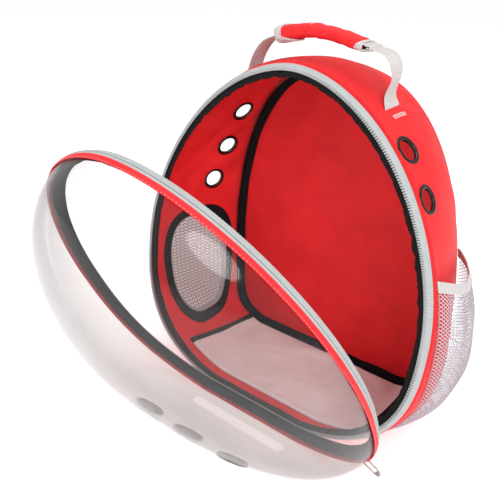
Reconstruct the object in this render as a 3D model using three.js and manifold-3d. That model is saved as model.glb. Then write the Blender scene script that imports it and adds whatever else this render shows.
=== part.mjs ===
import * as THREE from 'three';
import { mergeVertices } from 'three/addons/utils/BufferGeometryUtils.js';
import Module from 'manifold-3d';

// Bubble pet carrier backpack, standing on its base with the clear cover open.
// Millimetres, +Z up, the opening faces -Y, origin in the middle of the base.

const wasm = await Module();
wasm.setup();

const degree = Math.PI / 180;
const gap = 0.35; // clearance between pieces that touch on the real bag

// Two egg outlines, each in its own leaning plane. Powers above 2 square the egg off.
const opening = {
  halfWidth: 203,
  height: 420,
  waistHeight: 170,
  topPower: 1.85,
  footPower: 2.65,
  lean: 7,
  lift: 6.5, // the opening's foot stays this far above the floor
  pressed: 4, // how much of the round foot is pressed flat
};
const rear = {
  halfWidth: 168,
  height: 410,
  waistHeight: 100,
  topPower: 2.4,
  footPower: 4.4,
  lean: -1.5,
  lift: 0,
  pressed: 4,
};
const bodyDepth = 179;
const stations = 48; // points round each outline

const wall = { thickness: 2, bulge: 7, lip: 10.8, rows: [0, 0.25, 0.5, 0.75, 1] };
const panel = { thickness: 4, edge: 3.2, recess: 0.6 };
const angle = { width: 8.5, thickness: 1.4, leg: 9.5 };
const mat = { thickness: 4, from: 19 / 48, to: 29 / 48, frontMargin: 2, rearMargin: 2, clear: 0.55 };

// The zip: flat teeth that meet in the opening's plane, and tape that slopes away from them.
const teeth = { inset: 11.9, width: 3, thickness: 2.05 };
const tape = { length: 11.5, slope: 33, thickness: 1.2 };
const bindingSeam = { inset: 1.3, clear: 0.9 }; // where both bindings start, from the teeth
const piping = { radius: 1.15 };
const binding = { length: 17, slope: 31, thickness: 1.3 };
const coverBinding = { length: 16.5, slope: 27, thickness: 1.3 };
const band = { width: 7.8, thickness: 1.5, inset: 0.3 };
const dome = { depth: 108, thickness: 1.6, power: 2, centreShare: 0.56, rows: 9, seat: 1 };

const eyelet = { hole: 11, radius: 15.5, thickness: 3.8, proud: 1, sides: 20 };
// Places up the opening and across the depth, as shares.
const eyelets = [
  { name: 'vent_left_1', side: -1, up: 0.795, deep: 0.72 },
  { name: 'vent_left_2', side: -1, up: 0.676, deep: 0.7 },
  { name: 'vent_left_3', side: -1, up: 0.56, deep: 0.635 },
  { name: 'vent_right_1', side: 1, up: 0.832, deep: 0.15 },
  { name: 'vent_right_2', side: 1, up: 0.731, deep: 0.14 },
];
const domeVent = {
  hole: 15,
  radius: 18,
  thickness: 3.6,
  sink: 1,
  spacing: 64,
  height: 80,
  count: 3,
  sides: 24,
};
const windowFrame = {
  centreHeight: 110,
  halfHeight: 86,
  halfWidth: 57,
  share: 0.525, // across the wall's depth
  power: 2.9,
  border: 9,
  proud: 0.8,
  depth: 6, // along x, more than the slanted wall's own
};
const windowMesh = { thickness: 1.2, sink: 0.6 };

const pocket = {
  frontMargin: 22,
  rearMargin: 14,
  foot: 26,
  top: 226,
  drop: 14,
  bulge: 23,
  thickness: 1.2,
  clear: 0.9, // off the wall along its sewn edges
};
const elastic = { width: 12, thickness: 2.4 };

const handle = { share: 0.29, halfSpan: 90, offset: 9, rise: 59, width: 25, thickness: 1.8, joint: 0.6 };
const grip = { start: 64, length: 102, width: 27, thickness: 13, endShare: 0.62 };
const keeper = { length: 14, wall: 1.3 };

const slider = { station: 18 / 48, length: 12, width: 7, thickness: 3.6, proud: 3.2, clear: 0.55 };
const pull = { length: 30, width: 7, thickness: 1.6, drop: 12, turn: 38 };

const strap = { width: 58, thickness: 9, topMargin: 38, foot: 160, topX: 42, footX: 92, bow: 14 };
const webbing = { width: 25, thickness: 1.8, foot: 34, footX: 112 };
const adjuster = { width: 36, height: 22, thickness: 4 };

// Places in the two planes. out is the distance in front of the plane.
const openingY = -bodyDepth / 2;

function openingPoint(x, up, out) {
  const [c, s] = [Math.cos(opening.lean * degree), Math.sin(opening.lean * degree)];
  return new THREE.Vector3(x, openingY + up * s - out * c, up * c + out * s);
}

function rearPoint(x, up, out) {
  const [c, s] = [Math.cos(rear.lean * degree), Math.sin(rear.lean * degree)];
  return new THREE.Vector3(x, openingY + bodyDepth + up * s - out * c, up * c + out * s);
}

function egg(shape) {
  return Array.from({ length: stations }, (_, i) => {
    const turn = Math.PI / 2 - (2 * Math.PI * i) / stations;
    const [c, s] = [Math.cos(turn), Math.sin(turn)];
    const power = 2 / (s >= 0 ? shape.topPower : shape.footPower);
    const reach = s >= 0 ? shape.height - shape.waistHeight : shape.waistHeight;
    const x = shape.halfWidth * Math.sign(c) * Math.abs(c) ** power;
    const up = shape.waistHeight + reach * Math.sign(s) * Math.abs(s) ** power;
    return new THREE.Vector2(x, shape.lift + Math.max(0, up - shape.pressed));
  });
}

// The outline moved inward by a distance, with mitred corners.
function inset(outline, distance) {
  const count = outline.length;
  return outline.map((point, i) => {
    const before = point.clone().sub(outline[(i + count - 1) % count]).normalize();
    const after = outline[(i + 1) % count].clone().sub(point).normalize();
    const first = new THREE.Vector2(before.y, -before.x);
    const both = first.clone().add(new THREE.Vector2(after.y, -after.x)).normalize();
    return point.clone().addScaledVector(both, distance / both.dot(first));
  });
}

// Closed meshes from rows of points.
function meshFrom(points, triangles) {
  const geometry = new THREE.BufferGeometry();
  const numbers = points.flatMap((p) => [p.x, p.y, p.z]);
  geometry.setAttribute('position', new THREE.Float32BufferAttribute(numbers, 3));
  geometry.setIndex(triangles);
  return facingOut(geometry);
}

function facingOut(geometry) {
  const { position } = geometry.attributes;
  const index = geometry.index.array;
  const tips = [new THREE.Vector3(), new THREE.Vector3(), new THREE.Vector3()];
  let volume = 0;
  for (let t = 0; t < index.length; t += 3) {
    tips.forEach((tip, k) => tip.fromBufferAttribute(position, index[t + k]));
    volume += tips[0].dot(tips[1].clone().cross(tips[2]));
  }
  if (volume < 0) {
    for (let t = 0; t < index.length; t += 3) [index[t], index[t + 1]] = [index[t + 1], index[t]];
  }
  return geometry;
}

function quad(a, b, c, d) {
  return [a, b, c, a, c, d];
}

// rows[i] is the closed section at station i. A loop joins last to first, a bar gets flat ends.
function sweep(rows, isLoop) {
  const [count, size] = [rows.length, rows[0].length];
  const triangles = [];
  const last = isLoop ? count : count - 1;
  for (let i = 0; i < last; i += 1) {
    const [here, next] = [i * size, ((i + 1) % count) * size];
    for (let k = 0; k < size; k += 1) {
      const m = (k + 1) % size;
      triangles.push(...quad(here + k, here + m, next + m, next + k));
    }
  }
  if (!isLoop) {
    const end = (count - 1) * size;
    for (let k = 1; k < size - 1; k += 1) triangles.push(0, k + 1, k, end, end + k, end + k + 1);
  }
  return meshFrom(rows.flat(), triangles);
}

// A sheet with a thickness, from the grid of its two faces.
function sheet(face, rise) {
  const [count, size] = [face.length, face[0].length];
  const at = (side, i, k) => side * count * size + i * size + k;
  const triangles = [];
  for (let i = 0; i < count - 1; i += 1) {
    for (let k = 0; k < size - 1; k += 1) {
      triangles.push(...quad(at(0, i, k + 1), at(0, i, k), at(0, i + 1, k), at(0, i + 1, k + 1)));
      triangles.push(...quad(at(1, i, k + 1), at(1, i + 1, k + 1), at(1, i + 1, k), at(1, i, k)));
    }
  }
  for (let i = 0; i < count - 1; i += 1) {
    const k = size - 1;
    triangles.push(...quad(at(0, i, 0), at(1, i, 0), at(1, i + 1, 0), at(0, i + 1, 0)));
    triangles.push(...quad(at(0, i, k), at(0, i + 1, k), at(1, i + 1, k), at(1, i, k)));
  }
  for (let k = 0; k < size - 1; k += 1) {
    const i = count - 1;
    triangles.push(...quad(at(0, 0, k), at(0, 0, k + 1), at(1, 0, k + 1), at(1, 0, k)));
    triangles.push(...quad(at(0, i, k), at(1, i, k), at(1, i, k + 1), at(0, i, k + 1)));
  }
  return meshFrom([...face.flat(), ...rise.flat()], triangles);
}

// Nested closed loops that shrink to a tip, outside and inside, joined at the rim.
function bowl(outer, outerTip, inner, innerTip) {
  const [rows, size] = [outer.length, outer[0].length];
  const points = [...outer.flat(), ...inner.flat(), outerTip, innerTip];
  const start = [0, rows * size];
  const tips = [2 * rows * size, 2 * rows * size + 1];
  const triangles = [];
  for (let k = 0; k < size; k += 1) {
    const m = (k + 1) % size;
    for (let side = 0; side < 2; side += 1) {
      const faces = [];
      for (let j = 0; j < rows - 1; j += 1) {
        const [here, next] = [start[side] + j * size, start[side] + (j + 1) * size];
        faces.push(...quad(here + k, here + m, next + m, next + k));
      }
      const end = start[side] + (rows - 1) * size;
      faces.push(end + k, end + m, tips[side]);
      triangles.push(...(side === 0 ? faces : faces.reverse()));
    }
    triangles.push(...quad(k, start[1] + k, start[1] + m, m));
  }
  return meshFrom(points, triangles);
}

// Joining and cutting.
function solid(geometry, matrix = new THREE.Matrix4()) {
  const copy = geometry.clone().applyMatrix4(matrix);
  copy.deleteAttribute('normal');
  copy.deleteAttribute('uv');
  const merged = mergeVertices(copy, 1e-4);
  const triVerts = new Uint32Array(merged.index.array);
  const vertProperties = new Float32Array(merged.attributes.position.array);
  return new wasm.Manifold(new wasm.Mesh({ numProp: 3, vertProperties, triVerts }));
}

function geometryOf(manifold) {
  const { vertProperties, triVerts } = manifold.getMesh();
  const geometry = new THREE.BufferGeometry();
  geometry.setAttribute('position', new THREE.Float32BufferAttribute(vertProperties, 3));
  geometry.setIndex(Array.from(triVerts));
  return geometry;
}

const paint = (color, roughness, metalness = 0, more = {}) =>
  new THREE.MeshStandardMaterial({ color, roughness, metalness, flatShading: true, ...more });
const materials = {
  redFabric: paint(0xd0222a, 0.75),
  blackTape: paint(0x1b1a1b, 0.85),
  paleTape: paint(0xc8cbca, 0.7),
  paleWeb: paint(0xe2dcd8, 0.8),
  teeth: paint(0xb4b8b8, 0.5),
  redBand: paint(0xe3242b, 0.5),
  matPile: paint(0xe0cbc8, 0.95),
  mesh: paint(0xd9dcdf, 0.8),
  grille: paint(0x4b4b4d, 0.4, 0.7),
  eyelet: paint(0x2a2220, 0.35, 0.5),
  metal: paint(0xb9b4ae, 0.3, 1),
  clear: paint(0xeef0f0, 0.08, 0, { transparent: true, opacity: 0.3 }),
  plastic: paint(0x202022, 0.5),
};

const bag = new THREE.Group();

function add(group, name, geometry, material) {
  const mesh = new THREE.Mesh(geometry, material);
  mesh.name = name;
  group.add(mesh);
  return mesh;
}

// Where each rim's tape starts and ends, as inset and distance from the opening's plane.
const direction = (slope) => [Math.cos(slope * degree), Math.sin(slope * degree)];
const [tapeIn, tapeOut] = direction(tape.slope);
const tapeStart = { inset: teeth.inset - gap - tape.thickness * tapeOut, out: 2 * gap };
const tapeEnd = {
  inset: tapeStart.inset - tape.length * tapeIn,
  out: tapeStart.out + tape.length * tapeOut,
};
const openingOutline = egg(opening);
const rearOutline = egg(rear);

// A ring round the opening. Its section's corners are insets and distances from the plane.
function rim(section, place) {
  const loops = section.map((point) => inset(openingOutline, point.inset));
  const rows = openingOutline.map((_, i) =>
    section.map((point, k) => place(loops[k][i].x, loops[k][i].y, point.out)));
  return sweep(rows, true);
}

const mirrored = (section) => section.map((point) => ({ inset: point.inset, out: -point.out }));
const teethSection = [
  { inset: teeth.inset, out: gap },
  { inset: teeth.inset + teeth.width, out: gap },
  { inset: teeth.inset + teeth.width, out: gap + teeth.thickness },
  { inset: teeth.inset, out: gap + teeth.thickness },
];

// A flat strip of a length that slopes from its start, thick toward the inside of the rim.
function strip(start, length, slope, thickness) {
  const [along, rise] = direction(slope);
  const end = { inset: start.inset - length * along, out: start.out + length * rise };
  const inside = (point) => ({ inset: point.inset + thickness * rise, out: point.out + thickness * along });
  return [start, end, inside(end), inside(start)];
}

const tapeSection = strip(tapeStart, tape.length, tape.slope, tape.thickness);
const bindingStart = { inset: teeth.inset + bindingSeam.inset, out: teeth.thickness + bindingSeam.clear };

// The binding runs back from the teeth, steeply along the bag's depth.
function bindingSection(size) {
  return strip(bindingStart, size.length, 90 - size.slope, size.thickness);
}

const pipingCentre = {
  inset: tapeEnd.inset + 0.2 * piping.radius,
  out: tapeEnd.out + piping.radius + tape.thickness,
};
const pipingSection = Array.from({ length: 6 }, (_, k) => ({
  inset: pipingCentre.inset + piping.radius * Math.cos((k * Math.PI) / 3),
  out: pipingCentre.out + piping.radius * Math.sin((k * Math.PI) / 3),
}));

// The fabric wall: straight from the opening to the rear outline, swelling between them, flat on the floor.
function wallGrid() {
  const outer = wall.rows.map((share) => openingOutline.map((point, i) => {
    const front = openingPoint(point.x, point.y, -wall.lip);
    const back = rearPoint(rearOutline[i].x, rearOutline[i].y, 0);
    return front.lerp(back, share);
  }));
  const plain = normals(outer);
  const swollen = outer.map((row, j) => row.map((point, i) => {
    const moved = point.clone().addScaledVector(plain[j][i], wall.bulge * Math.sin(Math.PI * wall.rows[j]));
    moved.z = Math.max(0, moved.z);
    return moved;
  }));
  return { outer: swollen, normal: normals(swollen) };
}

function normals(rows) {
  const last = rows.length - 1;
  return rows.map((row, j) => row.map((point, i) => {
    const round = row[(i + 1) % stations].clone().sub(row[(i + stations - 1) % stations]);
    const deep = rows[Math.min(last, j + 1)][i].clone().sub(rows[Math.max(0, j - 1)][i]);
    return round.cross(deep).normalize();
  }));
}

const fabric = wallGrid();

// A point of the wall at a station, a share of the depth and a distance in from its outer face.
function onWall(i, share, inward) {
  const j = Math.min(wall.rows.length - 2, wall.rows.findLastIndex((row) => row <= share));
  const mix = (share - wall.rows[j]) / (wall.rows[j + 1] - wall.rows[j]);
  const point = fabric.outer[j][i].clone().lerp(fabric.outer[j + 1][i], mix);
  const normal = fabric.normal[j][i].clone().lerp(fabric.normal[j + 1][i], mix).normalize();
  return point.addScaledVector(normal, -inward);
}

// The wall's outer face at one y, as a closed line of stations.
function slice(y) {
  return openingOutline.map((_, i) => {
    const column = fabric.outer.map((row) => row[i]);
    const j = Math.max(0, Math.min(column.length - 2, column.findLastIndex((point) => point.y <= y)));
    return column[j].clone().lerp(column[j + 1], (y - column[j].y) / (column[j + 1].y - column[j].y));
  });
}

// x of the wall on one side at a height, and height of its top at an x.
function wallX(side, y, z) {
  const line = slice(y);
  for (let k = 0; k < stations / 2; k += 1) {
    const [a, b] = [line[(stations + side * k) % stations], line[(stations + side * (k + 1)) % stations]];
    if (a.z >= z && b.z <= z && a.z > b.z) return a.x + ((b.x - a.x) * (a.z - z)) / (a.z - b.z);
  }
  throw new Error(`no wall at height ${z}`);
}

function topZ(x, y) {
  const line = slice(y);
  const side = Math.sign(x) || 1;
  for (let k = 0; k < stations / 4; k += 1) {
    const [a, b] = [line[(stations + side * k) % stations], line[(stations + side * (k + 1)) % stations]];
    if (Math.abs(a.x) <= Math.abs(x) && Math.abs(b.x) >= Math.abs(x)) {
      return a.z + ((b.z - a.z) * (Math.abs(x) - Math.abs(a.x))) / (Math.abs(b.x) - Math.abs(a.x));
    }
  }
  throw new Error(`no top at ${x}`);
}

function wallNormal(side, y, z) {
  const step = 4;
  const slopeY = (wallX(side, y + step, z) - wallX(side, y - step, z)) / (2 * step);
  const slopeZ = (wallX(side, y, z + step) - wallX(side, y, z - step)) / (2 * step);
  return new THREE.Vector3(1, -slopeY, -slopeZ).normalize().multiplyScalar(side);
}

function wallSpot(side, y, z, outward) {
  return new THREE.Vector3(wallX(side, y, z), y, z).addScaledVector(wallNormal(side, y, z), outward);
}

// Depth across the wall at a height: 0 at the front lip, 1 at the rear edge.
function depthAt(height, share) {
  const front = openingY + height * Math.tan(opening.lean * degree) + wall.lip;
  const back = openingY + bodyDepth + height * Math.tan(rear.lean * degree);
  return front + (back - front) * share;
}

function washer(innerRadius, outerRadius, low, high, segments) {
  const profile = [
    [innerRadius, low], [outerRadius, low], [outerRadius, high], [innerRadius, high], [innerRadius, low],
  ].map(([r, h]) => new THREE.Vector2(r, h));
  return facingOut(new THREE.LatheGeometry(profile, segments));
}

function facing(point, normal) {
  const turn = new THREE.Quaternion().setFromUnitVectors(new THREE.Vector3(0, 1, 0), normal);
  return new THREE.Matrix4().compose(point, turn, new THREE.Vector3(1, 1, 1));
}

function drill(radius, depth, point, normal) {
  return solid(new THREE.CylinderGeometry(radius, radius, depth, 24), facing(point, normal));
}

// The window's outline on the left wall, as y and z. grow moves it outward.
function windowLoop(grow, count = 28) {
  const centreY = depthAt(windowFrame.centreHeight, windowFrame.share);
  const [width, height] = [windowFrame.halfWidth + grow, windowFrame.halfHeight + grow];
  return Array.from({ length: count }, (_, i) => {
    const [c, s] = [Math.cos((2 * Math.PI * i) / count), Math.sin((2 * Math.PI * i) / count)];
    const shape = (value) => Math.sign(value) * Math.abs(value) ** (2 / windowFrame.power);
    return new THREE.Vector2(centreY + width * shape(c), windowFrame.centreHeight + height * shape(s));
  });
}

function addWall() {
  const rows = openingOutline.map((_, i) => {
    const outer = wall.rows.map((share) => onWall(i, share, 0));
    const inner = wall.rows.map((share) => onWall(i, share, wall.thickness));
    return [...outer, ...inner.reverse()];
  });
  let body = solid(sweep(rows, true));
  for (const { name, side, up, deep } of eyelets) {
    const height = up * opening.height;
    const y = depthAt(height, deep);
    const [point, normal] = [wallSpot(side, y, height, 0), wallNormal(side, y, height)];
    body = body.subtract(drill(eyelet.radius + gap, 6 * eyelet.thickness, point, normal));
    const low = eyelet.proud - eyelet.thickness;
    const ring = washer(eyelet.hole, eyelet.radius, low, eyelet.proud, eyelet.sides);
    add(bag, name, ring.applyMatrix4(facing(point, normal)), materials.eyelet);
  }
  const cutter = new THREE.Shape(windowLoop(gap));
  const cut = new THREE.ExtrudeGeometry(cutter, { depth: opening.halfWidth, bevelEnabled: false });
  // The shape's axes are y and z, its depth runs along x.
  const turn = new THREE.Matrix4().makeBasis(
    new THREE.Vector3(0, 1, 0), new THREE.Vector3(0, 0, 1), new THREE.Vector3(1, 0, 0));
  turn.setPosition(-1.3 * opening.halfWidth, 0, 0);
  body = body.subtract(solid(cut, turn));
  add(bag, 'side_wall', geometryOf(body), materials.redFabric);
}

function addWindow() {
  const { proud, depth } = windowFrame;
  const loops = [windowLoop(0), windowLoop(-windowFrame.border)];
  const rows = loops[0].map((_, i) => [
    [0, proud], [1, proud], [1, proud - depth], [0, proud - depth],
  ].map(([k, out]) => {
    const spot = loops[k][i];
    return new THREE.Vector3(wallX(-1, spot.x, spot.y) - out, spot.x, spot.y);
  }));
  add(bag, 'window_binding', sweep(rows, true), materials.blackTape);

  const edge = windowLoop(-windowFrame.border - gap);
  const centre = edge.reduce((sum, p) => sum.add(p), new THREE.Vector2()).divideScalar(edge.length);
  const face = (inward) => {
    const place = (spot) => new THREE.Vector3(wallX(-1, spot.x, spot.y) + inward, spot.x, spot.y);
    const rings = [1, 0.66, 0.33].map((share) => edge.map((p) => place(centre.clone().lerp(p, share))));
    return { rings, tip: place(centre) };
  };
  const [outer, inner] = [face(windowMesh.sink), face(windowMesh.sink + windowMesh.thickness)];
  add(bag, 'window_mesh', bowl(outer.rings, outer.tip, inner.rings, inner.tip), materials.mesh);
}

function addPanel() {
  const edge = inset(rearOutline, panel.edge);
  const face = (out) => edge.map((p) => rearPoint(p.x, p.y, out));
  const rows = [face(panel.recess), face(panel.recess + panel.thickness)];
  add(bag, 'back_panel', sweep(rows, false), materials.redFabric);

  const low = panel.recess + panel.thickness + gap;
  const start = panel.edge + gap;
  const section = [
    [start, low], [start + angle.width, low], [start + angle.width, low + angle.thickness],
    [start + angle.thickness, low + angle.thickness], [start + angle.thickness, low + angle.leg],
    [start, low + angle.leg],
  ];
  const loops = section.map(([distance]) => inset(rearOutline, distance));
  const angled = rearOutline.map((_, i) =>
    section.map(([, out], k) => rearPoint(loops[k][i].x, loops[k][i].y, out)));
  add(bag, 'back_binding', sweep(angled, true), materials.blackTape);
}

function addMat() {
  const reach = binding.length * Math.cos(binding.slope * degree);
  const from = (bindingStart.out + reach + mat.frontMargin + binding.thickness - wall.lip) / bodyDepth;
  const to = 1 - (panel.recess + panel.thickness + angle.leg + mat.rearMargin) / bodyDepth;
  const [first, last] = [Math.round(mat.from * stations), Math.round(mat.to * stations)];
  const columns = Array.from({ length: last - first + 1 }, (_, k) => first + k);
  const shares = [from, ...wall.rows.slice(1, -1), to];
  const face = (inward) => columns.map((i) => shares.map((share) => onWall(i, share, inward)));
  const low = wall.thickness + mat.clear;
  add(bag, 'floor_mat', sheet(face(low), face(low + mat.thickness)), materials.matPile);
}

function addFrontRim() {
  const place = (x, up, out) => {
    const point = openingPoint(x, up, out);
    point.z = Math.max(0, point.z);
    return point;
  };
  add(bag, 'front_teeth', rim(mirrored(teethSection), place), materials.teeth);
  add(bag, 'front_tape', rim(mirrored(tapeSection), place), materials.paleTape);
  add(bag, 'front_piping', rim(mirrored(pipingSection), place), materials.redBand);
  add(bag, 'front_binding', rim(mirrored(bindingSection(binding)), place), materials.blackTape);
}

// The pocket's face, from front to rear and from foot to top. beyond moves it off its own face.
function pocketPoint(along, height, beyond) {
  const front = depthAt(pocket.top, 0) + pocket.frontMargin - wall.lip;
  const back = depthAt(pocket.top, 1) - pocket.rearMargin;
  const y = front + (back - front) * along;
  const top = pocket.top - pocket.drop * along - pocket.drop * Math.sin(Math.PI * along);
  const z = pocket.foot + (top - pocket.foot) * height;
  const [across, tall] = [Math.sin(Math.PI * along) ** 0.7, Math.sin(Math.PI * (0.72 * height + 0.04))];
  return wallSpot(1, y, z, pocket.clear + pocket.bulge * across * tall + beyond);
}

function addPocket() {
  const columns = [0, 0.05, 0.15, 0.3, 0.4, 0.5, 0.6, 0.7, 0.85, 0.95, 1];
  const heights = [0, 0.07, 0.15, 0.25, 0.4, 0.55, 0.7, 0.85, 1];
  const grid = (rows, beyond) =>
    columns.map((along) => rows.map((height) => pocketPoint(along, height, beyond)));
  const net = sheet(grid(heights, 0), grid(heights, pocket.thickness));
  add(bag, 'side_pocket', net, materials.mesh);
  const tall = pocket.top - pocket.foot;
  const edge = [1 + (2 * gap) / tall, 1 + elastic.width / tall];
  const rise = elastic.thickness - pocket.thickness;
  const rib = sheet(grid(edge, -0.5 * rise), grid(edge, pocket.thickness + 0.5 * rise));
  add(bag, 'pocket_elastic', rib, materials.paleWeb);
}

// The handle's arch in its own upright plane, as shares of the half span and of the rise.
const arch = [
  { side: -1.0, up: 0 },
  { side: -0.91, up: 0.34 },
  { side: -0.77, up: 0.61 },
  { side: -0.56, up: 0.77 },
  { side: -0.33, up: 0.88 },
  { side: -0.04, up: 0.96 },
  { side: 0.3, up: 0.94 },
  { side: 0.6, up: 0.87 },
  { side: 0.73, up: 0.86 },
  { side: 0.88, up: 0.84 },
  { side: 0.98, up: 0.71 },
  { side: 1.01, up: 0.48 },
  { side: 0.96, up: 0.17 },
  { side: 1.0, up: 0 },
];
const handleY = depthAt(opening.height, handle.share);

// Height at which the strap's foot clears the wall's top, on one side.
function footHeight(side) {
  const x = handle.offset + side * handle.halfSpan;
  const edges = [-0.5, 0.5].flatMap((share) => [-1, 1].map((step) =>
    topZ(x + (step * handle.thickness) / 2, handleY + share * handle.width)));
  return Math.max(...edges) + gap + handle.thickness / 2;
}

const footing = [footHeight(-1), footHeight(1)];
const archCurve = new THREE.CatmullRomCurve3(arch.map(({ side, up }) => {
  const foot = footing[0] + ((footing[1] - footing[0]) * (side + 1)) / 2;
  return new THREE.Vector3(handle.offset + side * handle.halfSpan, handleY, foot + up * handle.rise);
}));
const archLength = archCurve.getLength();

// The stretch of the arch between two distances along it from its left end.
function archStretch(from, to, steps) {
  return Array.from({ length: steps + 1 }, (_, k) =>
    archCurve.getPointAt(Math.min(1, (from + ((to - from) * k) / steps) / archLength)));
}

// A strap along a line in an upright plane. size gives the width along y and the thickness at a share.
function ribbon(line, size, sides) {
  const rows = line.map((point, k) => {
    const along = line[Math.min(line.length - 1, k + 1)].clone().sub(line[Math.max(0, k - 1)]).normalize();
    const outward = new THREE.Vector3(-along.z, 0, along.x);
    const { width, thickness } = size(k / (line.length - 1));
    return sides.map(([across, off]) => {
      const sideways = new THREE.Vector3(0, (across * width) / 2, 0);
      return point.clone().addScaledVector(outward, (off * thickness) / 2).add(sideways);
    });
  });
  return sweep(rows, false);
}

const flat = [[-1, -1], [1, -1], [1, 1], [-1, 1]];
const rounded = Array.from({ length: 10 }, (_, k) => {
  const [c, s] = [Math.cos((k * Math.PI) / 5), Math.sin((k * Math.PI) / 5)];
  return [Math.sign(c) * Math.abs(c) ** 0.7, Math.sign(s) * Math.abs(s) ** 0.7];
});

function addHandle() {
  const gripEnd = grip.start + grip.length;
  const keeperStart = gripEnd + handle.joint;
  const keeperEnd = keeperStart + keeper.length;
  const web = () => ({ width: handle.width, thickness: handle.thickness });
  const left = archStretch(0, grip.start - handle.joint, 10);
  const right = archStretch(keeperEnd + handle.joint, archLength, 12);
  add(bag, 'handle_strap_left', ribbon(left, web, flat), materials.paleWeb);
  add(bag, 'handle_strap_right', ribbon(right, web, flat), materials.paleWeb);
  const padded = (share) => {
    const full = Math.min(1, grip.endShare + 3.2 * Math.min(share, 1 - share));
    return { width: grip.width * (0.8 + 0.2 * full), thickness: grip.thickness * full };
  };
  const middle = archStretch(grip.start, gripEnd, 12);
  add(bag, 'handle_grip', ribbon(middle, padded, rounded), materials.redFabric);
  const ring = () => ({
    width: handle.width + 2 * keeper.wall,
    thickness: 4 * keeper.wall + handle.thickness, // two layers above and two below the web
  });
  const fold = archStretch(keeperStart, keeperEnd, 3);
  add(bag, 'handle_keeper', ribbon(fold, ring, flat), materials.paleWeb);
}

// Shoulder straps, flat on the rear panel.
function plate(shape, thickness, out) {
  const geometry = new THREE.ExtrudeGeometry(shape, { depth: thickness, bevelEnabled: false });
  const [c, s] = [Math.cos(rear.lean * degree), Math.sin(rear.lean * degree)];
  const place = new THREE.Matrix4().makeBasis(
    new THREE.Vector3(-1, 0, 0), new THREE.Vector3(0, s, c), new THREE.Vector3(0, c, -s));
  place.setPosition(rearPoint(0, 0, -out));
  return geometry.applyMatrix4(place);
}

// A band with level ends, bowed sideways between them.
function bandShape(fromX, fromUp, toX, toUp, width, bow) {
  const line = new THREE.QuadraticBezierCurve(
    new THREE.Vector2(fromX, fromUp),
    new THREE.Vector2((fromX + toX) / 2 + bow, (fromUp + toUp) / 2),
    new THREE.Vector2(toX, toUp));
  const steps = bow === 0 ? 1 : 8;
  const side = (sign) => Array.from({ length: steps + 1 }, (_, k) =>
    line.getPoint(k / steps).add(new THREE.Vector2((sign * width) / 2, 0)));
  return new THREE.Shape([...side(1), ...side(-1).reverse()]);
}

function addStraps() {
  for (const [name, side] of [['left', 1], ['right', -1]]) {
    const [topX, footX, endX] = [side * strap.topX, side * strap.footX, side * webbing.footX];
    const top = rear.height - strap.topMargin;
    const pad = bandShape(topX, top, footX, strap.foot, strap.width, side * strap.bow);
    add(bag, `shoulder_strap_${name}`, plate(pad, strap.thickness, gap), materials.redFabric);
    const clipTop = strap.foot - gap;
    const clipFoot = clipTop - adjuster.height;
    const clip = bandShape(footX, clipTop, footX, clipFoot, adjuster.width, 0);
    add(bag, `strap_adjuster_${name}`, plate(clip, adjuster.thickness, gap), materials.plastic);
    const web = bandShape(footX, clipFoot - gap, endX, webbing.foot, webbing.width, 0);
    add(bag, `strap_web_${name}`, plate(web, webbing.thickness, gap), materials.blackTape);
  }
}

// The cover is shaped closed, around its hinge line, and then opened until it rests on the floor.
const hinge = openingPoint(0, opening.lift + teeth.inset, 0);
const cover = new THREE.Group();
const closed = (x, up, out) => openingPoint(x, up, out).sub(hinge);
const bandStart = tapeEnd.out + tape.thickness + gap;
const domeEdge = { inset: band.inset + band.thickness + gap, out: bandStart + dome.seat };
const domeRim = inset(openingOutline, domeEdge.inset);
const domeCentre = new THREE.Vector2(0, opening.lift + opening.height * dome.centreShare);

function domeRows(thickness) {
  const edge = inset(openingOutline, domeEdge.inset + thickness);
  return Array.from({ length: dome.rows }, (_, j) => {
    const turn = (j / dome.rows) * (Math.PI / 2);
    const [share, rise] = [Math.cos(turn) ** (2 / dome.power), Math.sin(turn) ** (2 / dome.power)];
    const out = domeEdge.out + (dome.depth - thickness) * rise;
    return edge.map((p) => {
      const spot = domeCentre.clone().lerp(p, share);
      return closed(spot.x, spot.y, out);
    });
  });
}

// Height of the dome's outer face over a point of the opening's plane.
function domeOut(x, up) {
  const offset = new THREE.Vector2(x, up).sub(domeCentre);
  const reach = domeRim.reduce((best, a, i) => {
    const b = domeRim[(i + 1) % stations];
    const [p, q] = [a.clone().sub(domeCentre), b.clone().sub(domeCentre)];
    const [first, second] = [p.cross(offset), q.cross(offset)];
    if (first * second > 0 || p.dot(offset) + q.dot(offset) < 0) return best;
    return p.lerp(q, first / (first - second)).length();
  }, 1);
  const share = offset.length() / reach;
  return domeEdge.out + dome.depth * (1 - share ** dome.power) ** (1 / dome.power);
}

function domeSpot(x, up) {
  const step = 3;
  const slopeX = (domeOut(x + step, up) - domeOut(x - step, up)) / (2 * step);
  const slopeUp = (domeOut(x, up + step) - domeOut(x, up - step)) / (2 * step);
  const point = closed(x, up, domeOut(x, up));
  const normal = closed(-slopeX, -slopeUp, 1).sub(closed(0, 0, 0)).normalize();
  return { point, normal };
}

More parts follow.
